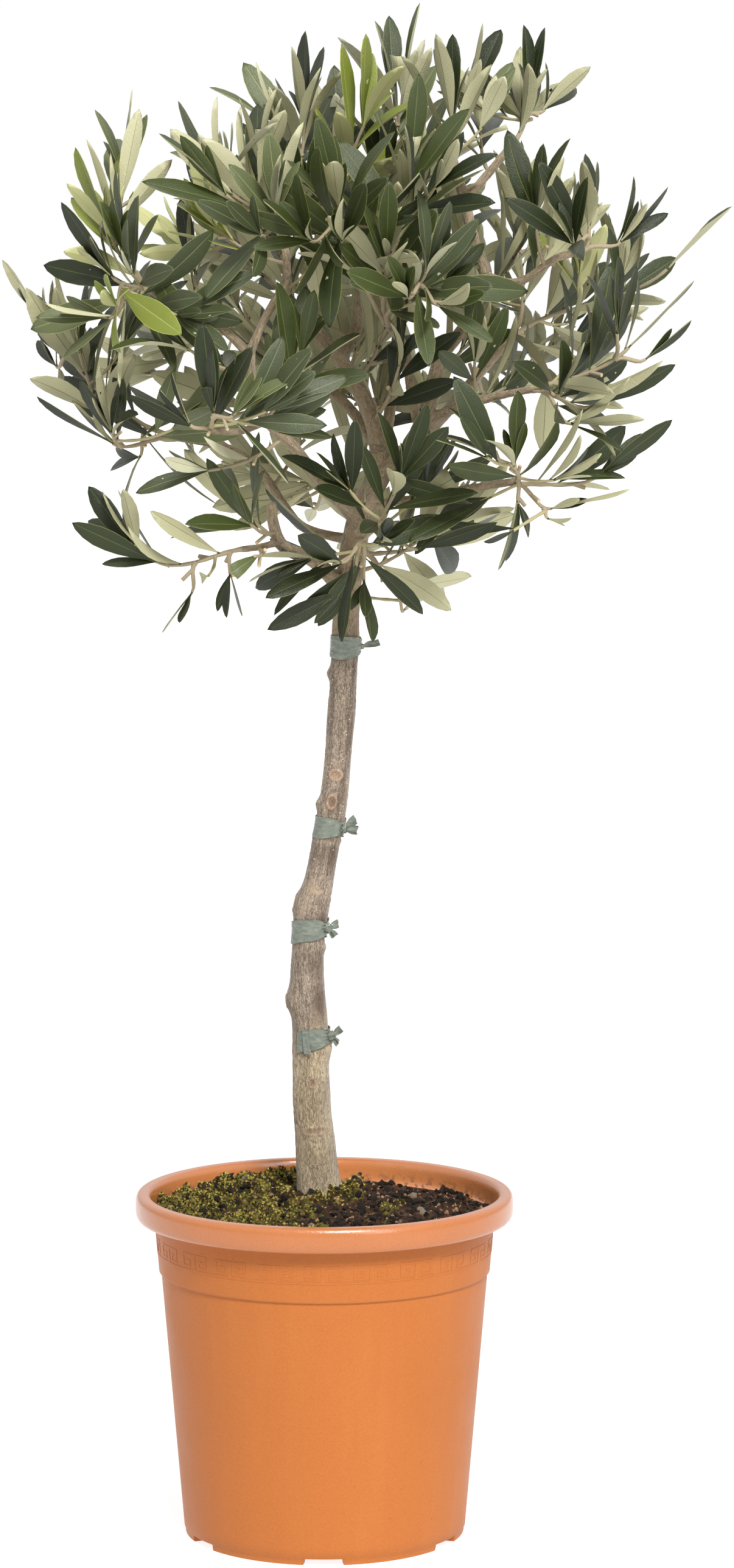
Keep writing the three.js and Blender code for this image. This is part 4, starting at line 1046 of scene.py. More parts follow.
def furrowed_boughs(mesh, lines):
    """Moves each point of the smooth boughs in or out by the bark's relief along its own limb."""
    samples = []
    for number, (path, _) in enumerate(lines):
        for step, (point, across, other) in enumerate(frames_along(path, max(3, round(path.length)))):
            samples.append((point, across, other, step + BOUGH_MESH.next_grain * number))
    tree = kdtree.KDTree(len(samples))
    for i, sample in enumerate(samples):
        tree.insert(sample[0], i)
    tree.balance()
    rows = []
    for place, normal in zip(vertex_rows(mesh, "co") / MM, vertex_rows(mesh, "normal")):
        point = Vector(place)
        _, found, _ = tree.find(point)
        centre, across, other, reach = samples[found]
        off = point - centre
        grain = (off.dot(across), off.dot(other), reach)
        height, depth = furrows(grain, BOUGH_MESH.lower)
        moved = place + normal * (height * BOUGH_MESH.relief - BOUGH_MESH.sunk)
        lower = min(0.5, max(0.0, (10 - off.length) / 10))
        rows.append((moved, grain, depth, lower, 0.6 * ripple_noise(grain, 0.06, 0.03)))
    moved, grains, crevices, lowers, tones = zip(*rows)
    mesh.vertices.foreach_set("co", (np.array(moved) * MM).reshape(-1))
    smooth_faces(mesh)
    mesh.name = "bough_bark"
    store_bark(mesh, grains, crevice=crevices, lower=lowers, tone=tones)
    return placed("bough_bark", mesh)


# Crown


# Where a leaf is tested for room along its rib and its two edges: shares of its length and half width.
LEAF_LINE = ((0.14, 0), (0.35, 0), (0.6, 0), (0.82, 0), (1, 0))
LEAF_EDGES = ((0.3, 0.7), (0.55, 1), (0.8, 0.7), (0.3, -0.7), (0.55, -1), (0.8, -0.7))
LEAF_MIDDLE = 0.55


class Room:
    """What stands in the crown so far, and whether something new has room in it."""

    def __init__(self):
        self.wood = np.zeros((0, 8))
        self.leaves = np.zeros((0, 14))

    def add_wood(self, points, radii, owner):
        """Keeps each stretch of a limb: its ends, its radius and its owner."""
        places = rows_of(points)
        thick = np.maximum(radii[:-1], radii[1:])
        rows = np.column_stack((places[:-1], places[1:], thick, np.full(len(thick), owner)))
        self.wood = np.vstack((self.wood, rows))

    def off_wood(self, places, but=()):
        """The least distance from some places to the wood's surface, apart from some owners' wood."""
        wood = self.wood[~np.isin(self.wood[:, 7], but)]
        start, run = wood[:, :3], wood[:, 3:6] - wood[:, :3]
        off = places[:, None, :] - start[None]
        share = np.clip((off * run).sum(2) / np.maximum((run * run).sum(1), 1e-9), 0, 1)
        gaps = np.linalg.norm(off - share[:, :, None] * run, axis=2) - wood[:, 6]
        return float(gaps.min())

    def crosses_leaves(self, starts, ends):
        """Whether any of some straight stretches runs through a leaf that stands already."""
        root, along, side, face = (self.leaves[:, i:i + 3] for i in (0, 3, 6, 9))
        length, half = self.leaves[:, 12], self.leaves[:, 13]
        above = ((starts[:, None] - root) * face).sum(2)
        below = ((ends[:, None] - root) * face).sum(2)
        pierced = above * below < 0
        share = np.where(pierced, above / np.where(pierced, above - below, 1), 0)
        hit = starts[:, None] + (ends - starts)[:, None] * share[:, :, None] - root
        y = (hit * along).sum(2) / length
        x = (hit * side).sum(2) / half
        inside = pierced & (((y - 0.54) / 0.46) ** 2 + x ** 2 < 1)
        return bool(inside.any())

    def leaf_fits(self, leaf, own):
        """Whether a leaf stands clear of the wood, apart from its own twig, and of all other leaves."""
        root, along, side, face = (np.array(leaf[key]) for key in ("root", "along", "side", "face"))
        length, half = leaf["length"], leaf["width"] / 2
        droop = -face * leaf["arch"] * length / 2
        line, edges = ([root + along * length * t + droop * t * t + side * half * w for t, w in places]
                       for places in (LEAF_LINE, LEAF_EDGES))
        starts = np.array(line[:-1] + edges[0:2] + edges[3:5])
        ends = np.array(line[1:] + edges[1:3] + edges[4:6])
        if (self.off_wood(np.array(line[1:] + edges), but=(own,)) < CLEAR.leaf_to_wood
                or self.crosses_leaves(starts, ends)):
            return False
        middle = root + along * length * LEAF_MIDDLE
        others = self.leaves[:, 0:3] + self.leaves[:, 3:6] * self.leaves[:, 12:13] * LEAF_MIDDLE
        return (np.linalg.norm(others - middle, axis=1) >= CLEAR.leaf_to_leaf).all()

    def add_leaf(self, leaf):
        row = [*leaf["root"], *leaf["along"], *leaf["side"], *leaf["face"], leaf["length"], leaf["width"] / 2]
        self.leaves = np.vstack((self.leaves, row))


def uprightness(place):
    """How much a leaf turns upwards: most in the crest and on the right, hardly in the crown's skirt."""
    levels = (640, 700, 860)
    amounts = (GROWTH.skirt_uprightness, GROWTH.uprightness, GROWTH.crest_uprightness)
    right = ramp(place.x, 60, 140) * ramp(place.z, 660, 720)
    return float(np.interp(place.z, levels, amounts)) + GROWTH.right_uprightness * right


def outward_facing(place):
    """How far a leaf's upper side turns away from the trunk: in the low crown, not in the crest."""
    out = Vector((place.x - CROWN_CENTRE[0], place.y - CROWN_CENTRE[1], 0)).normalized()
    return out * ramp(place.z, 720, 870, GROWTH.outward_facing, 0)


def openness(place):
    """The share of spurs that pruning took: few in the crest and by the boughs, most low and far out."""
    right = place.x - CROWN_CENTRE[0]
    out = max(right, -right * 0.84)
    low = ramp(place.z, 665, 740, 0.95, 0.1) * ramp(out, 55, 105)
    return max(low, ramp(out, 110, 200, 0, 0.7))


# Thinned places of the crown: the least and most x and z, and the share of leaves taken there.
THINNED = (
    (175, 212, 600, 772, 0.8), (-50, -12, 904, 1000, 0.4), (26, 103, 904, 1000, 0.3),
    (210, 300, 600, 850, 0.85), (140, 180, 730, 800, 0.2), (140, 230, 835, 910, 0.3),
    (-240, -164, 765, 810, 0.45), (-240, -126, 640, 702, 0.7), (-126, -60, 668, 702, 0.4),
    (-126, -88, 560, 634, 0.7), (-50, -14, 634, 668, 0.35), (-94, -48, 872, 1000, 0.8),
    (30, 145, 560, 636, 0.7), (-12, 30, 560, 636, 0.45), (140, 200, 560, 668, 0.3),
)


def thinned(place):
    return max([share for left, right, low, high, share in THINNED
                if left < place.x < right and low < place.z < high], default=0.0)


# The spray whose end leaf lies level, so that it is seen edge on from the front.
LEVEL_SPRAY = 70

# The opening in front through which the fork shows: its least and most x and z.
FORK_VIEW = (2, 46, 694, 762)


def before_fork(place):
    left, right, low, high = FORK_VIEW
    return left < place.x < right and place.y < 0 and low < place.z < high


def crown_limits():
    """The crown's furthest reach in many directions."""
    tips = np.array([tip for _, tip, sides in MASSES.values() for tip in (tip, *sides)])
    limits = []
    for i in range(REACH.directions):
        z = 1 - (2 * i + 1) / REACH.directions
        flat = sqrt(1 - z * z)
        way = np.array((flat * cos(i * GOLDEN_ANGLE), flat * sin(i * GOLDEN_ANGLE), z))
        limits.append((*way, (tips @ way).max() + REACH.slack))
    return np.array(limits)


class Crown:
    """All twigs and leaves, grown mass by mass from the boughs."""

    def __init__(self):
        self.room = Room()
        self.limits = crown_limits()
        self.twigs = []
        self.leaves = []
        self.owners = {name: number for number, name in enumerate(("trunk", *BOUGHS))}
        self.next_owner = len(self.owners)
        self.add_limb(trunk_path, lambda share: trunk_radius(trunk_path.at(share).z, 0.0), "trunk")
        for name, path in bough_paths.items():
            self.add_limb(path, partial(bough_radius, name), name)

    def add_limb(self, path, radius_at, name):
        count = max(3, round(path.length / 10))
        radii = [radius_at(i / count) for i in range(count + 1)]
        self.room.add_wood(path.evenly(count), radii, self.owners[name])

    def inside(self, point):
        return bool((self.limits[:, :3] @ np.array(point) < self.limits[:, 3]).all())

    def twig(self, path, foot, end, parent, spray, bare_foot):
        """A twig if it has room, else None. Near its foot it may touch its parent."""
        count = max(2, round(path.length / 7))
        points = path.evenly(count)
        places = rows_of(points)
        clear_from = min(count, ceil(bare_foot / (path.length / count)))
        if (self.room.off_wood(places[clear_from:]) < CLEAR.twig_to_wood
                or self.room.off_wood(places[1:], but=(parent,)) < CLEAR.twig_beside
                or self.room.crosses_leaves(places[:-1], places[1:])):
            return None
        return Facts(path=path, points=points, foot=foot, end=end, spray=spray)

    def keep(self, twig):
        twig.owner = self.next_owner
        self.next_owner += 1
        count = len(twig.points) - 1
        radii = [mix(twig.foot, twig.end, i / count) for i in range(count + 1)]
        self.room.add_wood(twig.points, radii, twig.owner)
        self.twigs.append(twig)
        return twig

    def reaching_path(self, root, start, tip, bend=0):
        """An arch from a root to where the end leaf takes over, bowed aside where bend isn't 0."""
        span = tip - root
        end = (span.normalized() + UP * GROWTH.end_rise).normalized()
        leaf_room = min(LEAF.length * LEAF.end_room, span.length * LEAF.stem_room)
        last = tip - end * leaf_room
        third = (last - root).length / 3
        bow = Vector((0, 0, 0))
        if bend:
            bow = around_axis(span.normalized(), bend * tau / GROWTH.bows) * third * GROWTH.bow
        return arched_path((root, root + start * third + bow, last - end * third + bow, last))

    def spur_path(self, root, axis, angle, length):
        start = (axis * GROWTH.spur_forward + around_axis(axis, angle)).normalized()
        end = (start + axis * GROWTH.spur_curl + UP * GROWTH.uprightness).normalized()
        middle = root + start * length / 2
        return arched_path((root, root + start * length / 3, middle, middle + end * length / 2))

    def place_leaf(self, twig, draw, share, lean, angle, size, tip=None):
        """Tries to place a leaf, wider off its course each time. The last try for a tip always stays."""
        axis = twig.path.along(share)
        root = twig.path.at(share)
        luck = draw()
        for attempt in range(GROWTH.tries):
            lean_stray, bearing_stray, roll_stray = (first + more * attempt for first, more in STRAY)
            tilt = radians(lean + vary(draw, lean_stray))
            radial = around_axis(axis, angle + vary(draw, bearing_stray))
            along = axis * cos(tilt) + radial * sin(tilt) + UP * uprightness(root)
            length = LEAF.length * size * (1 + vary(draw, LEAF.spread))
            if tip is not None:
                along = tip - root
                length = along.length
            along.normalize()
            upper = axis + UP * GROWTH.upper_lift + radial * GROWTH.upper_turn + outward_facing(root)
            roll = vary(draw, roll_stray)
            if tip is not None and twig.spray == LEVEL_SPRAY:
                upper, roll = UP, 0.0
            side = along.cross(upper).normalized()
            side.rotate(Quaternion(along, roll))
            leaf = {
                "root": root,
                "along": along,
                "side": side,
                "face": side.cross(along),
                "length": length,
                "width": length * mix(*LEAF.width, draw()),
                "arch": mix(*(LEAF.arch if tip is None else LEAF.reaching_arch), draw()),
                "fold": mix(*LEAF.fold, draw()),
                "twist": vary(draw, LEAF.twist),
                "wave": vary(draw, LEAF.wave),
                "clipped": tip is None and draw() < LEAF.clipped,
                "spray": twig.spray,
            }
            if tip is None:
                middle = root + along * length / 2
                if not self.inside(root + along * length) or before_fork(middle):
                    continue
                if luck < thinned(middle):
                    return
            last_try = tip is not None and attempt == GROWTH.tries - 1
            if last_try or self.room.leaf_fits(leaf, twig.owner):
                self.room.add_leaf(leaf)
                self.leaves.append(leaf)
                return

    def dress_twig(self, twig, draw, bare, tip=None):
        """Leaves from a twig's end to its foot: up to three at the end, then crossed pairs."""
        turn = draw() * pi
        size = END_LEAF.reaching_size if tip else END_LEAF.size
        self.place_leaf(twig, draw, END_LEAF.share, END_LEAF.lean, turn, size, tip)
        for angle in (turn + pi / 2, turn + pi / 2 + pi):
            self.place_leaf(twig, draw, BESIDE_END.share, BESIDE_END.lean, angle, BESIDE_END.size)
        for pair in itertools.count():
            nearer, size = (1, 1) if pair else (NEXT_PAIR.nearer, NEXT_PAIR.size)
            share = 1 - (pair + NEXT_PAIR.start) * GROWTH.pair_spacing * nearer / twig.path.length
            if share < bare:
                return
            lean = mix(GROWTH.end_lean, GROWTH.foot_lean, min(1, pair / GROWTH.full_lean_pair))
            angle = turn + pair * pi / 2
            self.place_leaf(twig, draw, share, lean, angle, size)
            self.place_leaf(twig, draw, share, lean, angle + pi, size)

    def reaching_twigs(self, name, seed):
        """The stem of a mass and its side shoots, which carry the crown's outermost leaves."""
        bough, tip, sides = MASSES[name]
        tip = Vector(tip)
        if bough == "trunk":
            height, degrees = TRUNK_FEET[name]
            start = level_way(radians(degrees))
            root = trunk_at(height) + start * (trunk_radius(height, radians(degrees)) - 2)
            foot = TWIG.trunk_foot
        else:
            path = bough_paths[bough]
            start = path.along(1)
            root = path.at(1) - start * 2
            foot = BOUGHS[bough][1] / 2 * 0.8
            siblings = [Vector(other[1]) for other in MASSES.values() if other[0] == bough]
            if len(siblings) > 1:
                apart = tip - sum(siblings, Vector()) / len(siblings)
                apart = (apart - start * apart.dot(start)).normalized()
                root += apart * (TWIG.wide_spread if len(siblings) > 2 else TWIG.root_spread)
                foot *= 0.85
        stems = (
            self.twig(self.reaching_path(root, start, tip, bend), foot, TWIG.stem_end,
                      self.owners[bough], seed * 10, TWIG.stem_bare)
            for bend in range(GROWTH.bows + 1)
        )
        stem = self.keep(next(filter(None, stems)))
        shoots = [(self.side_shoot(stem, Vector(side), seed * 10 + number), Vector(side))
                  for number, side in enumerate(sides, 1)]
        return [(stem, tip), *shoots]

    def side_shoot(self, stem, tip, spray):
        """A shoot to a tip from the nearest place along a stem that has room for it."""
        places = []
        steps = round((GROWTH.last_shoot - GROWTH.bare_stem) / GROWTH.shoot_step)
        for i in range(steps + 1):
            share = GROWTH.bare_stem + i * GROWTH.shoot_step
            way = tip - stem.path.at(share)
            forward = way.dot(stem.path.along(share))
            places.append((way.length - GROWTH.shoot_forward * forward, share))
        for _, share in sorted(places):
            root = stem.path.at(share)
            start = (tip - root).normalized()
            start = (start + stem.path.along(share) * GROWTH.shoot_forward).normalized()
            path = self.reaching_path(root, start, tip)
            shoot = self.twig(path, TWIG.shoot, TWIG.shoot_end, stem.owner, spray, TWIG.shoot_bare)
            if shoot:
                return self.keep(shoot)

    def spurs(self, path, owner, habit, spray, draw):
        """Leafy spurs round a stem or a bough. One that finds no room is left out."""
        number = max(1, int(path.length * (habit.last - habit.first) / habit.spacing))
        for i in range(number):
            share = mix(habit.first, habit.last, (i + draw() * SPUR_STRAY.share) / number)
            length = habit.length * (1 + vary(draw, SPUR_STRAY.length))
            angle = i * GOLDEN_ANGLE + vary(draw, SPUR_STRAY.bearing)
            line = self.spur_path(path.at(share), path.along(share), angle, length)
            spur = self.twig(line, habit.foot, TWIG.spur_end, owner, spray + 3 + i % 5, TWIG.spur_bare)
            if draw() < openness(line.at(1)) or not spur or not self.inside(line.at(1)):
                continue
            before = len(self.leaves)
            self.keep(spur)
            self.dress_twig(spur, draw, GROWTH.bare_spur)
            if len(self.leaves) == before:
                self.twigs.remove(spur)

    def grow(self):
        """All stems and shoots with a tip to reach come first, then their leaves, then the spurs."""
        masses = [(self.reaching_twigs(name, seed), seed * 10, drawer(seed))
                  for seed, name in enumerate(MASSES)]
        for twigs, _, draw in masses:
            for twig, tip in twigs:
                self.dress_twig(twig, draw, GROWTH.bare_stem, tip)
        for twigs, spray, draw in masses:
            for twig, _ in twigs:
                self.spurs(twig.path, twig.owner, SPURS["twig"], spray, draw)
        self.spurs(trunk_path, self.owners["trunk"], SPURS["trunk"], 380, drawer(99))
        for seed, (name, path) in enumerate(bough_paths.items()):
            self.spurs(path, self.owners[name], SPURS["bough"], 400 + seed * 10, drawer(100 + seed))


def cut_stubs(crown):
    """Short stubs where side twigs were clipped off, each as the points of its line and its radius."""
    draw = drawer(900)
    stubs = []
    for twig in [twig for twig in crown.twigs if twig.foot > STUB.least_foot for _ in range(2)]:
        share = mix(*STUB.along, draw())
        angle = draw() * tau
        length = mix(*STUB.length, draw())
        root = twig.path.at(share)
        axis = twig.path.along(share)
        way = (axis + around_axis(axis, angle) * STUB.lean).normalized()
        line = [root + way * length * i / 4 for i in range(5)]
        places = rows_of(line[2:])
        if draw() > STUB.kept or crown.room.crosses_leaves(places[:-1], places[1:]):
            continue
        if crown.room.off_wood(places, but=(twig.owner,)) > CLEAR.stub_to_wood:
            stubs.append((line, mix(*STUB.radius, draw())))
    return stubs


def taper(twig, share, length):
    """A twig's radius: swollen at its foot, and at the pairs of leaves."""
    radius = mix(min(twig.foot, GIRTH.most), twig.end, share)
    radius += max(0.0, twig.foot - GIRTH.most) * exp(-share * length / GIRTH.foot_length)
    return radius * (1 + GIRTH.at_pairs * cos(tau * share * length / GROWTH.pair_spacing))


def chains_object(name, chains):
    """Edges along chains of points in millimetres, each chain with its girths."""
    points, edges, girths = [], [], []
    for places, radii in chains:
        first = len(points)
        points += [Vector(place) * MM for place in places]
        girths += [radius * MM for radius in radii]
        edges += [(first + i, first + i + 1) for i in range(len(places) - 1)]
    mesh = small_mesh(name, points, edges)
    store(mesh, "girth", "FLOAT", girths)
    return placed(name, mesh)


def twig_chain(twig):
    path = twig.path
    count = max(4, round(path.length / GIRTH.step))
    return path.evenly(count), [taper(twig, i / count, path.length) for i in range(count + 1)]


# Leaf forms: for each ring its share of the length and of the half width.
LEAF_RINGS = ((0, 0.08), (0.06, 0.07), (0.15, 0.27), (0.28, 0.58), (0.42, 0.84),
              (0.56, 0.98), (0.7, 0.97), (0.83, 0.76), (0.94, 0.4))
CLIP_AT = 0.66
LEAF_SECTION = Facts(margin=0.955, rib=0.036, top=0.2, groove=0.06, vein=0.028, keel=0.42)
UPPER, RIB, MARGIN, UNDER = range(4)


def leaf_form(name, clipped):
    """A closed leaf of a few dozen faces: two blades and a rib above, two blades and a keel below."""
    rings = [ring for ring in LEAF_RINGS if not clipped or ring[0] < CLIP_AT]
    section = LEAF_SECTION
    points = []
    for share, half in rings:
        thick = 1 if half > 0.1 else 1.6
        for x, z in ((1, 0), (section.margin, section.top), (section.rib, section.groove),
                     (-section.rib, section.groove), (-section.margin, section.top), (-1, 0),
                     (-section.vein, -section.keel), (section.vein, -section.keel)):
            narrow = max(half, 0.1) if abs(x) < 0.5 else half
            points.append((x * narrow, share, z * thick * MM))
    round_kinds = [MARGIN, UPPER, RIB, UPPER, MARGIN, UNDER, MARGIN, UNDER]
    last = (len(rings) - 1) * 8
    faces = grid_faces(len(rings) - 1, 8, inward=True) + [tuple(range(8))]
    kinds = [RIB] * 8 + round_kinds * (len(rings) - 2) + [RIB]
    if clipped:
        faces.append(tuple(range(last + 7, last - 1, -1)))
        kinds.append(MARGIN)
    else:
        points.append((0, 1, 0))
        faces += [(last + i, last + 8, last + (i + 1) % 8) for i in range(8)]
        kinds += round_kinds
    mesh = small_mesh(name, points, (), faces)
    smooth_faces(mesh)
    store(mesh, "kind", "INT", kinds, "FACE")
    rim = {(a, a + 8) for first in range(0, last, 8) for a in (first, first + 5)}
    sharp = [tuple(sorted(edge.vertices)) in rim for edge in mesh.edges]
    store(mesh, "sharp_edge", "BOOLEAN", sharp, "EDGE")
    return placed(name, mesh)


# The four skins of a leaf: roughness, depth of the veins, and shine.
LEAF_SKINS = {
    "Upper": (0.36, -0.2, 0.38),
    "Rib": (0.45, 0.0, 0.35),
    "Margin": (0.45, 0.0, 0.35),
    "Under": (0.6, 0.14, 0.35),
}

# Each shade of foliage: upper face, rib, margin and underside, and its share of the sprays.
SHADES = {
    "deep": ((33, 41, 15), (74, 82, 42), (94, 100, 46), (172, 169, 134), 0.28),
    "dark": ((44, 53, 22), (86, 94, 52), (110, 114, 56), (182, 179, 142), 0.27),
    "olive": ((60, 70, 31), (100, 108, 62), (124, 126, 66), (190, 187, 150), 0.2),
    "grey": ((66, 74, 46), (118, 124, 86), (124, 128, 82), (194, 192, 162), 0.11),
    "sage": ((94, 102, 64), (142, 146, 104), (146, 148, 92), (202, 199, 162), 0.08),
    "fresh": ((126, 136, 56), (164, 168, 98), (178, 178, 96), (198, 198, 142), 0.06),
}


def shade_of(spray):
    """The shade that a spray takes, from one seeded draw."""
    draw = drawer(5000 + spray)
    draw()
    shares = np.cumsum([parts[4] for parts in SHADES.values()])
    return list(SHADES)[np.searchsorted(shares, draw(), side="right")]


def make_leaves(crown, tree, forms):
    """One joined piece of leaves for each shade."""
    pieces = []
    for shade, (*colours, _) in SHADES.items():
        chosen = [leaf for leaf in crown.leaves if shade_of(leaf["spray"]) == shade]
        mesh = small_mesh("sites", [Vector(leaf["root"]) * MM for leaf in chosen])
        for kind, scale, keys in (
            ("FLOAT", MM, ("length", "width")),
            ("FLOAT", 1, ("arch", "fold", "twist", "wave")),
            ("FLOAT_VECTOR", 1, ("side", "along", "face")),
            ("BOOLEAN", True, ("clipped",)),
        ):
            for key in keys:
                store(mesh, key, kind, np.array([leaf[key] for leaf in chosen]) * scale)
        name = "leaves_" + shade
        skins = {part: leaf_skin(f"{name}_{part.lower()}", colour, *LEAF_SKINS[part])
                 for part, colour in zip(LEAF_SKINS, colours)}
        inputs = {"Whole leaf": forms[0], "Clipped leaf": forms[1], **skins}
        pieces.append(grown(name, placed("sites", mesh), tree, inputs))
    return pieces


def make_crown():
    crown = Crown()
    crown.grow()
    stubs = cut_stubs(crown)
    spur_foot = SPURS["twig"].foot
    stems = [twig_chain(twig) for twig in crown.twigs if twig.foot > spur_foot]
    shoots = [twig_chain(twig) for twig in crown.twigs if twig.foot <= spur_foot]
    cuts = []
    for line, radius in stubs:
        last = line[4] - line[3]
        stems.append((line, [radius] * 5))
        cuts.append(([line[4] - last * 0.1, line[4] + last.normalized() * 0.2], [radius * 0.93] * 2))
    masses = ["leaves_" + name for name in MASSES]
    rods = rods_tree()
    for name, chains, sides, skin, colour in (
        ("twigs_woody", stems, 8, "twig_bark", (168, 154, 126)),
        ("twigs_green", shoots, 6, "shoot_bark", (176, 166, 126)),
        ("twig_cuts", cuts, 8, "cut_wood", (214, 192, 150)),
    ):
        inputs = {"Sides": sides, "Material": plain_wood(skin, colour)}
        finish_piece(grown(name, chains_object("chains", chains), rods, inputs), masses)
    forms = (leaf_form("whole_leaf", False), leaf_form("clipped_leaf", True))
    for piece in make_leaves(crown, leaves_tree(), forms):
        finish_piece(piece, masses)
    remove(*forms)


# Pot


def rim_points(count=26):
    """The rolled rim's section from its underside over the top to the lip inside."""
    middle = (POT.rim_radius + POT.lip_radius) / 2
    half_width = (POT.rim_radius - POT.lip_radius) / 2
    half_height = (POT.height - POT.rim_underside) / 2
    power = 2 / POT.rim_squareness
    points = []
    for i in range(count + 1):
        angle = mix(-0.5, 1.03, i / count) * pi
        across = copysign(abs(cos(angle)) ** power, cos(angle))
        rise = copysign(abs(sin(angle)) ** power, sin(angle))
        points.append((middle + half_width * across, POT.rim_underside + half_height * (1 + rise)))
    return points


def run_of(start, end, count):
    """Points from start up to but without end."""
    return [(mix(start[0], end[0], i / count), mix(start[1], end[1], i / count)) for i in range(count)]


def pot_profile():
    body_foot = (POT.body_foot_radius, POT.body_foot)
    body_top = (POT.body_top_radius, POT.body_top - 1.2)
    band_foot = (POT.band_foot_radius, POT.band_foot + 0.5)
    band_top = (POT.band_top_radius, POT.band_top - 0.6)
    inner_top = (POT.inner_top_radius, POT.band_top)
    inner_foot = (POT.body_foot_radius - POT.wall, POT.floor)
    return [
        (0, 0),
        (POT.pad_radius, 0),
        (POT.pad_radius + POT.edge, POT.recess),
        (POT.foot_inner - POT.edge, POT.recess),
        (POT.foot_inner, 0.4),
        (POT.foot_inner + 0.5, 0),
        (POT.foot_radius - 0.8, 0),
        (POT.foot_radius - 0.1, 0.5),
        (POT.foot_radius + 0.15, POT.body_foot - 0.6),
        *run_of(body_foot, body_top, 24),
        body_top,
        (POT.body_top_radius - 0.1, POT.body_top),
        (POT.body_top_radius + 0.1, POT.body_top + 0.3),
        (POT.band_foot_radius - 0.5, POT.band_foot - 1.0),
        (POT.band_foot_radius - 0.1, POT.band_foot - 0.7),
        *run_of(band_foot, band_top, 8),
        band_top,
        (POT.band_top_radius + 0.3, POT.band_top + 0.1),
        (POT.band_top_radius + 1, POT.rim_underside),
        *rim_points(),
        (POT.lip_radius - 0.2, POT.band_top + 5),
        (POT.lip_radius - 0.5, POT.band_top + 2),
        (POT.lip_radius - 1.5, POT.band_top + 0.6),
        (POT.inner_top_radius + 0.6, POT.band_top + 0.3),
        *run_of(inner_top, inner_foot, 10),
        inner_foot,
        (0, POT.floor),
    ]


def notch_bearings():
    """Bearings right round the pot, with two close together at each edge of every notch."""
    edges = []
    for i in range(POT.notches):
        middle = -pi / 2 + i * tau / POT.notches
        edges += [middle - NOTCH_HALF, middle + NOTCH_HALF]
    ease = 0.004
    kept = [turn for turn in turns(POT.sides)
            if all(abs(remainder(turn - edge, tau)) > 3 * ease for edge in edges)]
    return sorted(kept + [(edge + way * ease) % tau for edge in edges for way in (-1, 1)])


def in_notch(bearing):
    return abs(remainder(bearing + pi / 2, tau / POT.notches)) < NOTCH_HALF


def make_pot(material):
    """The pot as one turned shell, its foot ring cut by drain notches."""
    profile = pot_profile()
    bearings = notch_bearings()
    points = [(0, 0, profile[0][1])]
    sides = len(bearings)
    for radius, height in profile[1:-1]:
        for bearing in bearings:
            z = height
            if in_notch(bearing) and radius > POT.foot_inner - 0.5 and height < POT.notch_height:
                z = POT.notch_height - 0.02 * (POT.body_foot - height)
            points.append((radius * cos(bearing), radius * sin(bearing), z))
    points.append((0, 0, profile[-1][1]))
    rows = len(profile) - 2
    faces = grid_faces(rows - 1, sides, 1)
    last = 1 + (rows - 1) * sides
    for i in range(sides):
        beside = (i + 1) % sides
        faces.append((0, 1 + beside, 1 + i))
        faces.append((last + i, last + beside, len(points) - 1))
    pot = mesh_object("pot_shell", points, faces)
    pot.data.set_sharp_from_angle(angle=radians(50))
    finish_piece(pot, ("pot",), material)
    pot.data.materials.append(pot_plastic("rim_plastic", 0.24, 0.75, coat_weight=0.4, coat_roughness=0.12))
    edge = POT.rim_underside * MM
    glossy = [face.center.z > edge and face.normal.z > -0.7 for face in pot.data.polygons]
    pot.data.polygons.foreach_set("material_index", glossy)


def make_key_band(material):
    """The low raised key pattern round the pot's band."""
    rows = [row + row[::-1] for row in KEY_ROWS]
    columns = len(rows[0])
    slope = (POT.band_top_radius - POT.band_foot_radius) / (POT.band_top - POT.band_foot)
    radius = POT.band_foot_radius + slope * (KEY_MIDDLE - POT.band_foot)
    pitch = tau * radius / KEY_PAIRS
    cell = pitch / columns
    foot = KEY_MIDDLE - cell * len(rows) / 2
    points, faces, known = [], [], {}

    def corner(place, proud):
        if (place, proud) not in known:
            known[(place, proud)] = len(points)
            points.append((place[0] * cell, KEY_PROUD if proud else -KEY_SUNK, foot + place[1] * cell))
        return known[(place, proud)]

    def raised(x, z):
        return 0 <= z < len(rows) and 0 <= x < columns and rows[len(rows) - 1 - z][x] == "#"

    for z in range(len(rows)):
        for x in range(columns):
            if not raised(x, z):
                continue
            square = [(x, z), (x + 1, z), (x + 1, z + 1), (x, z + 1)]
            beside = [(x, z - 1), (x + 1, z), (x, z + 1), (x - 1, z)]
            faces.append([corner(square[i], True) for i in (0, 3, 2, 1)])
            faces.append([corner(place, False) for place in square])
            for a, b, out in zip(square, square[1:] + square[:1], beside):
                if not raised(*out):
                    faces.append((corner(a, False), corner(a, True), corner(b, True), corner(b, False)))
    flat = mesh_object("key_form", points, faces, smooth=False)
    band = grown("pot_key_band", flat, round_band_tree(), {
        "Copies": KEY_PAIRS,
        "Pitch": pitch * MM,
        "Radius at foot": POT.band_foot_radius * MM,
        "Slope": slope,
        "Foot height": POT.band_foot * MM,
        "Material": material,
    })
    finish_piece(band, ("pot",))


# Soil


def ground_noise(x, y, scale, layer):
    return noise_at(x * scale, y * scale, layer)


def moss_share(x, y):
    """How mossy the soil is at a place: most on the left and behind, in patches on the right."""
    patch = ground_noise(x, y, 0.035, 4)
    fine = ground_noise(x, y, 0.16, 9)
    side = np.clip((6 - x) / 75, -0.42, 0.6)
    return float(np.clip(0.3 + side + 1.1 * patch + 0.5 * fine, 0, 1))


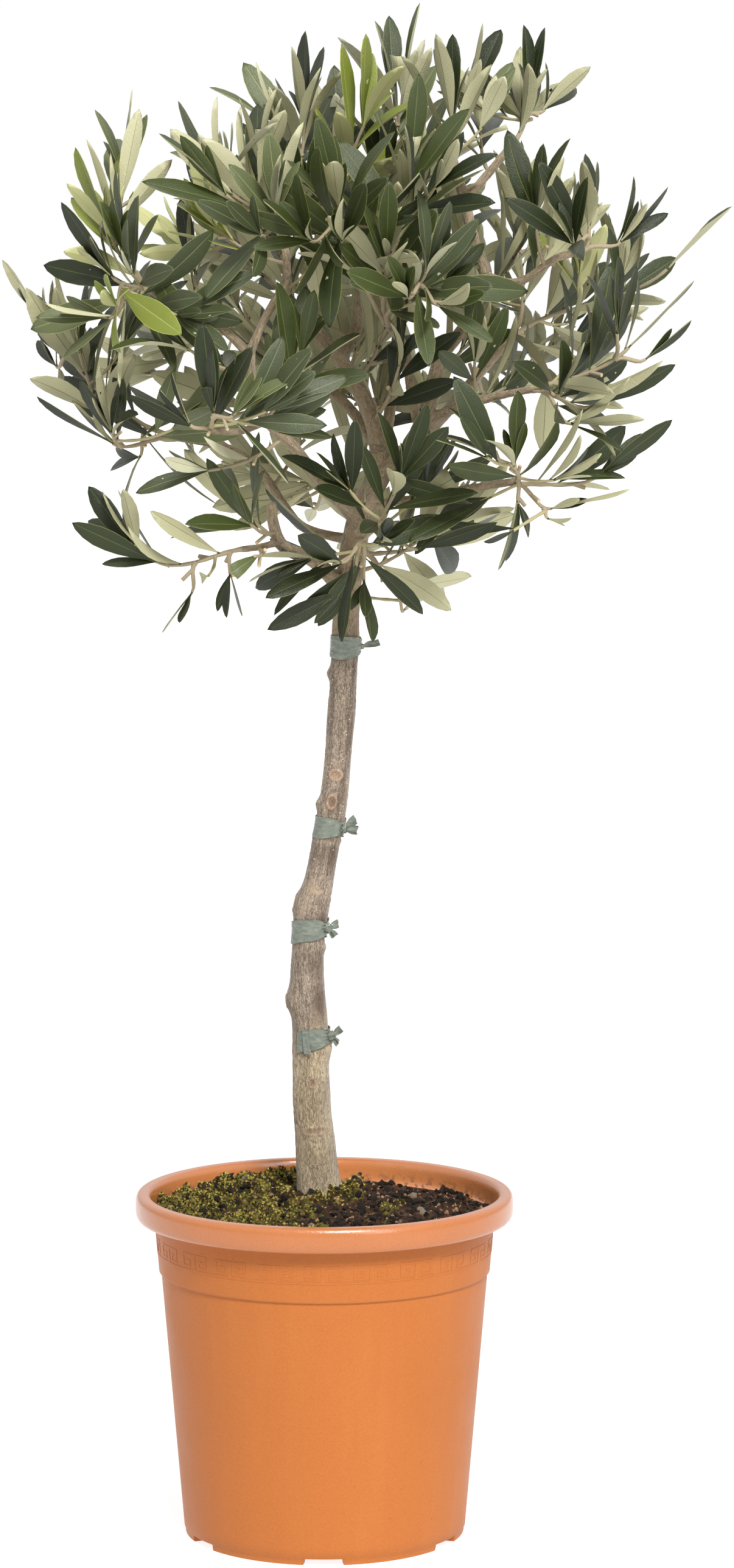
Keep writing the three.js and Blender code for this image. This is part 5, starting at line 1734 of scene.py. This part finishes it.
def moss_billow(x, y):
    """0 in the creases between the mounds of moss, rising to their tops."""
    return abs(ground_noise(x, y, 0.07, 7))


def soil_height(x, y):
    """The lumpy top of the soil in millimetres."""
    out = hypot(x, y)
    level = ramp(out, SOIL.crown_radius, SOIL.radius, SOIL.crown, SOIL.edge)
    lumps = 3.0 * ground_noise(x, y, 0.045, 1)
    clods = 2.4 * abs(ground_noise(x, y, 0.11, 2)) - 0.8
    crumbs = 1.5 * ground_noise(x, y, 0.36, 3)
    moss = moss_share(x, y)
    cushion = 13 * moss * min(1.0, 0.05 + 2.1 * moss_billow(x, y))
    ground = level + lumps + clods * 1.6 + crumbs * (1 - 0.5 * moss) + cushion - 2.2
    off_trunk = hypot(x - TRUNK_PATH[0][0], y - TRUNK_PATH[0][1])
    collar = SOIL.collar - max(0.0, off_trunk - SOIL.collar_radius) * SOIL.collar_slope
    return max(ground, collar + 0.8 * crumbs)


def make_soil():
    """The filling of the pot, with a lumpy top, patches of moss, crumbs, pebbles and litter."""
    rings, sides = SOIL.rings, SOIL.sides
    points, mosses = [], []
    for k in range(rings):
        radius = SOIL.radius * ((k + 0.4) / (rings - 0.6)) ** 0.85
        for bearing in turns(sides):
            x, y = radius * cos(bearing), radius * sin(bearing)
            points.append((x, y, max(soil_height(x, y), SOIL.ledge + 0.6)))
            mosses.append(moss_share(x, y))
    top = list(points)
    foot_radius = POT.body_foot_radius - POT.wall - 0.4
    skirt = ((SOIL.radius, SOIL.ledge + 0.5), (SOIL.ledge_radius, SOIL.ledge),
             (SOIL.ledge_radius, SOIL.ledge - 2), (foot_radius, SOIL.foot))
    for radius, height in skirt:
        points += [(radius * cos(bearing), radius * sin(bearing), height) for bearing in turns(sides)]
    soil = mesh_object("soil_bed", points, tube_faces(rings + len(skirt) - 1, sides, inward=True))
    store(soil.data, "moss", "FLOAT", mosses + [0] * (sides * len(skirt)))
    finish_piece(soil, ("soil",), soil_earth())
    strew_soil(top, mosses)


def tuft_form():
    """A tuft of moss: a few pointed blades leaning out from one foot, one unit high."""
    blades = []
    for i in range(5):
        out = level_way(i * GOLDEN_ANGLE)
        side = Vector((-out.y, out.x, 0)) * 0.2
        tip = out * (0.3 + 0.12 * (i % 3)) + UP * (1.0 - 0.14 * (i % 2))
        blades.append(([side, -side, out * 0.34, tip], ((0, 1, 3), (1, 2, 3), (2, 0, 3), (0, 2, 1))))
    points, faces = joined_parts(blades)
    return placed("tuft", small_mesh("tuft", points, (), faces))


def lump_form(name, seed, roughness, flatness, fine=2):
    """A rough lump about one unit across."""
    ball = bmesh.new()
    bmesh.ops.create_icosphere(ball, subdivisions=fine, radius=0.5)
    for vertex in ball.verts:
        place = vertex.co * 3.2 + Vector((seed * 7.3, 0, 0))
        vertex.co *= 1 + roughness * (0.75 * noise.noise(place) + 0.35 * noise.noise(place * 2.7))
        vertex.co.z *= flatness
    mesh = bpy.data.meshes.new(name)
    ball.to_mesh(mesh)
    ball.free()
    return placed(name, mesh)


def places_of_soil(x, y, moss):
    """How far a point of the soil's top is each kind of place."""
    mossy = max(0.0, moss - 0.3) / 0.7
    return {
        "moss": mossy,
        "mounds": mossy * float(np.clip(3.2 * moss_billow(x, y) - 0.25, 0.02, 1)),
        "earth": 1 - 0.75 * moss,
        "right": float(np.clip((x + 20) / 60, 0.05, 1)),
        "left wall": 1.0 if x < -50 and hypot(x, y) > 84 and y > -30 else 0.02,
    }


def strew_soil(points, mosses):
    """Moss tufts, crumbs of compost, pebbles and bits of litter on the soil, clear of the trunk."""
    foot = trunk_at(TRUNK_PATH[0][2])
    clear = [hypot(x - foot.x, y - foot.y) > SOIL.bare_radius for x, y, _ in points]
    shares = [places_of_soil(x, y, moss) for (x, y, _), moss in zip(points, mosses)]
    faces = grid_faces(SOIL.rings - 1, SOIL.sides, inward=True)

    # Each kind: its form, where it lies, how many to the square metre, its least and most size, how
    # far it tilts in radians, and its colour.
    kinds = {
        "moss_deep": (tuft_form(), "moss", 220000, (0.9, 2.1), 0.7, (58, 53, 25)),
        "moss_bright": (tuft_form(), "mounds", 340000, (0.8, 1.8), 0.7, (192, 177, 88)),
        "moss_brown": (tuft_form(), "moss", 60000, (0.9, 2.0), 0.8, (112, 88, 54)),
        "soil_crumbs": (lump_form("crumb", 1, 1.1, 0.8), "earth", 24000, (1.4, 5.6), 1.5, (26, 18, 11)),
        "soil_bits": (lump_form("bit", 2, 0.9, 0.6), "earth", 15000, (0.9, 3.2), 1.5, (160, 126, 94)),
        "soil_flakes": (lump_form("flake", 5, 0.9, 0.3), "earth", 8000, (1.4, 4.4), 1.5, (84, 56, 40)),
        "pebbles": (lump_form("pebble", 3, 0.35, 0.7), "right", 600, (3.6, 8.0), 0.4, (120, 106, 90)),
        "litter": (lump_form("chip", 4, 0.8, 0.12), "earth", 2600, (3, 8), 0.9, (74, 54, 38)),
        "dry_bits": (lump_form("husk", 8, 1.2, 0.2), "left wall", 900, (6, 11), 1.5, (122, 98, 70)),
    }
    for number, (name, (form, where, density, sizes, tilt, colour)) in enumerate(kinds.items()):
        ground = mesh_object("ground", points, faces)
        store(ground.data, "amount", "FLOAT", [share[where] * free for share, free in zip(shares, clear)])
        skin = plain_wood(name + "_skin", colour, 0.9)
        piece = strew(name, ground, form, density, sizes, tilt, 11 + number, skin)
        finish_piece(piece, ("soil",))


# Ties


# How far before its knot a tie that doesn't close begins.
TAPE_START = radians(100)

# A band of tape: its mesh, its narrowing at the knot, its sway and how a free end stands off.
BAND = Facts(sides=88, rows=12, narrowing=0.4, narrow_turn=0.55, width_sway=0.05, sway=0.4,
             end_lift=0.7, end_steps=5, inside=0.2, outside=0.35)

# A knot: its half widths, their least share and what its folds add.
KNOT = Facts(out=3.1, side=2.6, up=3.8, least=0.72, folds=0.9, fold_pitch=1.9, rows=12, sides=20)

# The folded end of a band: its turn from the knot in degrees, its place and its size.
FOLD = Facts(turn=76, above=1.5, off=2.1, lean=0.12, below=2.5, width=4.6)


def tie_lift(turn, rise, seed):
    """How far the tape stands off the bark, with creases that run round it and gather at the knot."""
    crease = noise_at(cos(turn) * 1.6, sin(turn) * 1.6, rise * 0.5 + seed * 5)
    crease += 0.5 * noise_at(turn * 3.1 + rise * 0.4, rise * 0.9, seed * 3)
    near = exp(-((turn / 0.5) ** 2))
    pleat = cos(rise * 2.2 + seed) * near
    return 0.62 + 0.26 * crease + 0.42 * pleat + 0.35 * near


def tie_band(tie, seed, knot_angle):
    """A band of tape round the trunk. It narrows at the knot, and one that doesn't close has ends."""
    span = radians(tie.span)
    closed = tie.span == 360
    columns = BAND.sides if closed else BAND.sides + 1
    outer, inner = [], []
    for k in range(BAND.rows + 1):
        across = k / BAND.rows * 2 - 1
        for i in range(columns):
            turn = span * i / BAND.sides - (0 if closed else TAPE_START)
            from_knot = remainder(turn, tau)
            angle = knot_angle + turn
            near = exp(-((from_knot / BAND.narrow_turn) ** 2))
            half = tie.width / 2 * (1 - BAND.narrowing * near)
            half *= 1 + BAND.width_sway * sin(3 * angle + seed)
            z = tie.middle + half * across + tie.slope * tie.width * cos(from_knot)
            z += BAND.sway * sin(2 * angle + seed * 2)
            axis = trunk_at(z)
            radius = trunk_radius(z, angle) + tie_lift(from_knot, across * tie.width / 2, seed)
            if not closed:
                radius += BAND.end_lift * max(0.0, 1 - i / BAND.end_steps)
            centre, way = Vector((axis.x, axis.y, z)), level_way(angle)
            inner.append(centre + way * (radius - BAND.inside))
            outer.append(centre + way * (radius + BAND.outside))
    return sheet_of(outer, inner, BAND.rows, columns, closed)


def sheet_of(outer, inner, rows, columns, closed):
    """A thin closed solid between two grids of points, open or joined round."""
    points = outer + inner
    shift = len(outer)
    steps = columns if closed else columns - 1
    faces = grid_faces(rows, columns, 0, closed) + grid_faces(rows, columns, shift, closed, True)
    top = rows * columns
    for i in range(steps):
        b = (i + 1) % columns
        faces.append((i, shift + i, shift + b, b))
        faces.append((top + i, top + b, shift + top + b, shift + top + i))
    if not closed:
        last = columns - 1
        for k in range(rows):
            a, b = k * columns, (k + 1) * columns
            faces.append((a, b, shift + b, shift + a))
            faces.append((a + last, shift + a + last, shift + b + last, b + last))
    return points, faces


def make_tie(name, seed, material):
    """A band of tape drawn tight round the trunk, gathered into a knot with short tails."""
    tie = TIES[name]
    knot_angle = radians(tie.knot)
    height = tie.middle + tie.slope * tie.width
    centre = trunk_at(height)
    out = level_way(knot_angle)
    reach = trunk_radius(height, knot_angle) + 2.4 * tie.bulk + 0.4
    core = Vector((centre.x, centre.y, height)) + out * reach
    parts = [tie_band(tie, seed, knot_angle), tie_knot(core, out, seed, tie.bulk)]
    for number, (turn, rise, length, width) in enumerate(tie.tails):
        angle = knot_angle + turn
        way = level_way(angle, rise).normalized()
        side = way.cross(Vector((sin(angle), -cos(angle), 0.3 - 0.5 * number))).normalized()
        parts.append(tape_strip(core, way, side, length, width, seed * 1.7 + number * 2.1))
    if tie.span < 360:
        parts.append(folded_end(tie))
    band = mesh_object(name + "_tape", *joined_parts(parts))
    band.data.set_sharp_from_angle(angle=radians(55))
    finish_piece(band, (name,), material)


def tie_knot(core, out, seed, bulk):
    """A small crumpled lump where the tape is tied."""
    side = Vector((-out.y, out.x, 0))
    points = []
    for k in range(KNOT.rows + 1):
        polar = mix(0.04, pi - 0.04, k / KNOT.rows)
        for turn in turns(KNOT.sides):
            way = Vector((sin(polar) * cos(turn), sin(polar) * sin(turn), cos(polar)))
            fold = abs(noise.noise(way * KNOT.fold_pitch + Vector((seed * 3.1, 0, 0)))) * KNOT.folds
            size = (KNOT.least + fold) * bulk
            spread = out * way.x * KNOT.out * size + side * way.y * KNOT.side * size
            points.append(core + (spread + UP * way.z * KNOT.up * size))
    return points, tube_faces(KNOT.rows, KNOT.sides, inward=True)


def tape_strip(core, way, side, length, width, phase, flat=0.0):
    """A short crumpled end of tape fanning out from a knot."""
    face = side.cross(way)
    rows, columns, thick = 10, 7, 0.3
    top, bottom = [], []
    for k in range(rows + 1):
        share = k / rows
        for i in range(columns):
            across = i / (columns - 1) * 2 - 1
            half = width / 2 * mix(0.3 + 0.7 * flat, 1, min(1, share * 1.5))
            crease = (1 - flat) * 0.9 * cos(across * 4.2 + phase) * share
            curl = (1 - flat) * 2.4 * share * share * sin(phase)
            ragged = 0.9 * across * cos(phase * 3) * share
            place = core + way * (length * share + ragged) + side * half * across
            place += face * (crease + curl)
            top.append(place + face * thick / 2)
            bottom.append(place - face * thick / 2)
    return sheet_of(top, bottom, rows, columns, False)


def folded_end(tie):
    """The free end of a tie that doesn't close, folded down over the band in front."""
    angle = radians(tie.knot - FOLD.turn)
    top = tie.middle + tie.width / 2 + FOLD.above
    axis = trunk_at(tie.middle)
    out = level_way(angle)
    side = Vector((-out.y, out.x, 0))
    start = Vector((axis.x, axis.y, top)) + out * (trunk_radius(tie.middle, angle) + FOLD.off)
    way = Vector((side.x * FOLD.lean, side.y * FOLD.lean, -1)).normalized()
    return tape_strip(start, way, side, tie.width + FOLD.below, FOLD.width, phase=0.4, flat=0.7)


# Pores


def make_pores(limb, name, density, low, nodes):
    """Small pale breathing pores raised on the bark."""
    copy = placed("pore_ground", limb.data.copy())
    height = vertex_rows(copy.data, "co")[:, 2] / MM
    store(copy.data, "amount", "FLOAT", np.clip((height - low) / 60, 0, 1))
    form = lump_form("pore", 6, 0.3, 0.55, 1)
    skin = plain_wood(name + "_skin", (196, 178, 150), 0.8)
    finish_piece(strew(name, copy, form, density, (0.55, 1.25), 0.1, 5, skin), nodes)


# Stage


def place_camera():
    lens = bpy.data.cameras.new("camera")
    lens.sensor_width = SENSOR
    lens.lens = SENSOR * FOCAL_PIXELS / PICTURE_HEIGHT
    camera = placed("camera", lens)
    camera.location = CAMERA_PLACE
    camera.rotation_euler = (radians(90 - CAMERA_PITCH), 0, 0)
    bpy.context.scene.camera = camera


def add_lamp(name, kind, power, place, aim):
    light = bpy.data.lights.new(name, kind)
    light.energy = power
    lamp = placed(name, light)
    lamp.location = place
    lamp.rotation_euler = (Vector(aim) - Vector(place)).to_track_quat("-Z", "Y").to_euler()
    return light


def light_stage():
    """A white studio: pale all round, broad light from high in front and a softbox at the right."""
    world = bpy.data.worlds.new("studio")
    world.use_nodes = True
    sky = Nodes(world.node_tree)
    surround = sky.tree.nodes["Background"]
    surround.inputs["Color"].default_value = (1, 1, 1, 1)
    ray = sky.add("ShaderNodeLightPath").outputs
    way = sky.add("ShaderNodeTexCoord").outputs["Generated"]
    height = sky.step(sky.split(way)["Z"], 0.0, 0.6, 0.62, 1.2)
    level = sky.times(height, sky.step(ray["Is Diffuse Ray"], 0.0, 1.0, 1.0, 0.5))
    put(surround.inputs["Strength"], sky.sum("MAXIMUM", level, ray["Is Camera Ray"]))
    bpy.context.scene.world = world
    high = add_lamp("high_light", "SUN", 3.0, (0, 0, 0), (-0.2, 0.72, -0.7))
    high.angle = radians(16)
    right = add_lamp("right_light", "AREA", 12, (1.5, -2.2, 1.3), (0, 0, 0.5))
    right.shape = "RECTANGLE"
    right.size, right.size_y = 0.9, 1.4
    bpy.context.scene.view_settings.view_transform = "Standard"


def make_floor():
    reach = 40000
    corners = [(x * reach, y * reach, 0) for x, y in ((-1, -1), (1, -1), (1, 1), (-1, 1))]
    floor = mesh_object("floor", corners, [(0, 1, 2, 3)])
    paint = Paint("floor_white", (150, 150, 150), 0.9, gloss=0.1, emission_strength=0.85)
    paint.shader.inputs["Emission Color"].default_value = (1, 1, 1, 1)
    floor.data.materials.append(paint.material)


# Building


place_camera()
light_stage()
make_floor()

plastic = pot_plastic("body_plastic", 0.46, 0.25)
make_pot(plastic)
make_key_band(plastic)
make_soil()

stem = make_stem()
finish_piece(stem, ("trunk",), bark("stem_bark_skin", (50, 38, 30), (175, 157, 138)))
boughs = make_boughs()
finish_piece(boughs, BOUGHS, bark("bough_bark_skin", (84, 66, 48), (182, 160, 130)))
make_pores(stem, "stem_pores", 26000, 400, ("trunk",))
make_pores(boughs, "bough_pores", 9000, 540, BOUGHS)

tape = tape_skin()
for seed, name in enumerate(TIES):
    make_tie(name, seed + 1, tape)

make_crown()
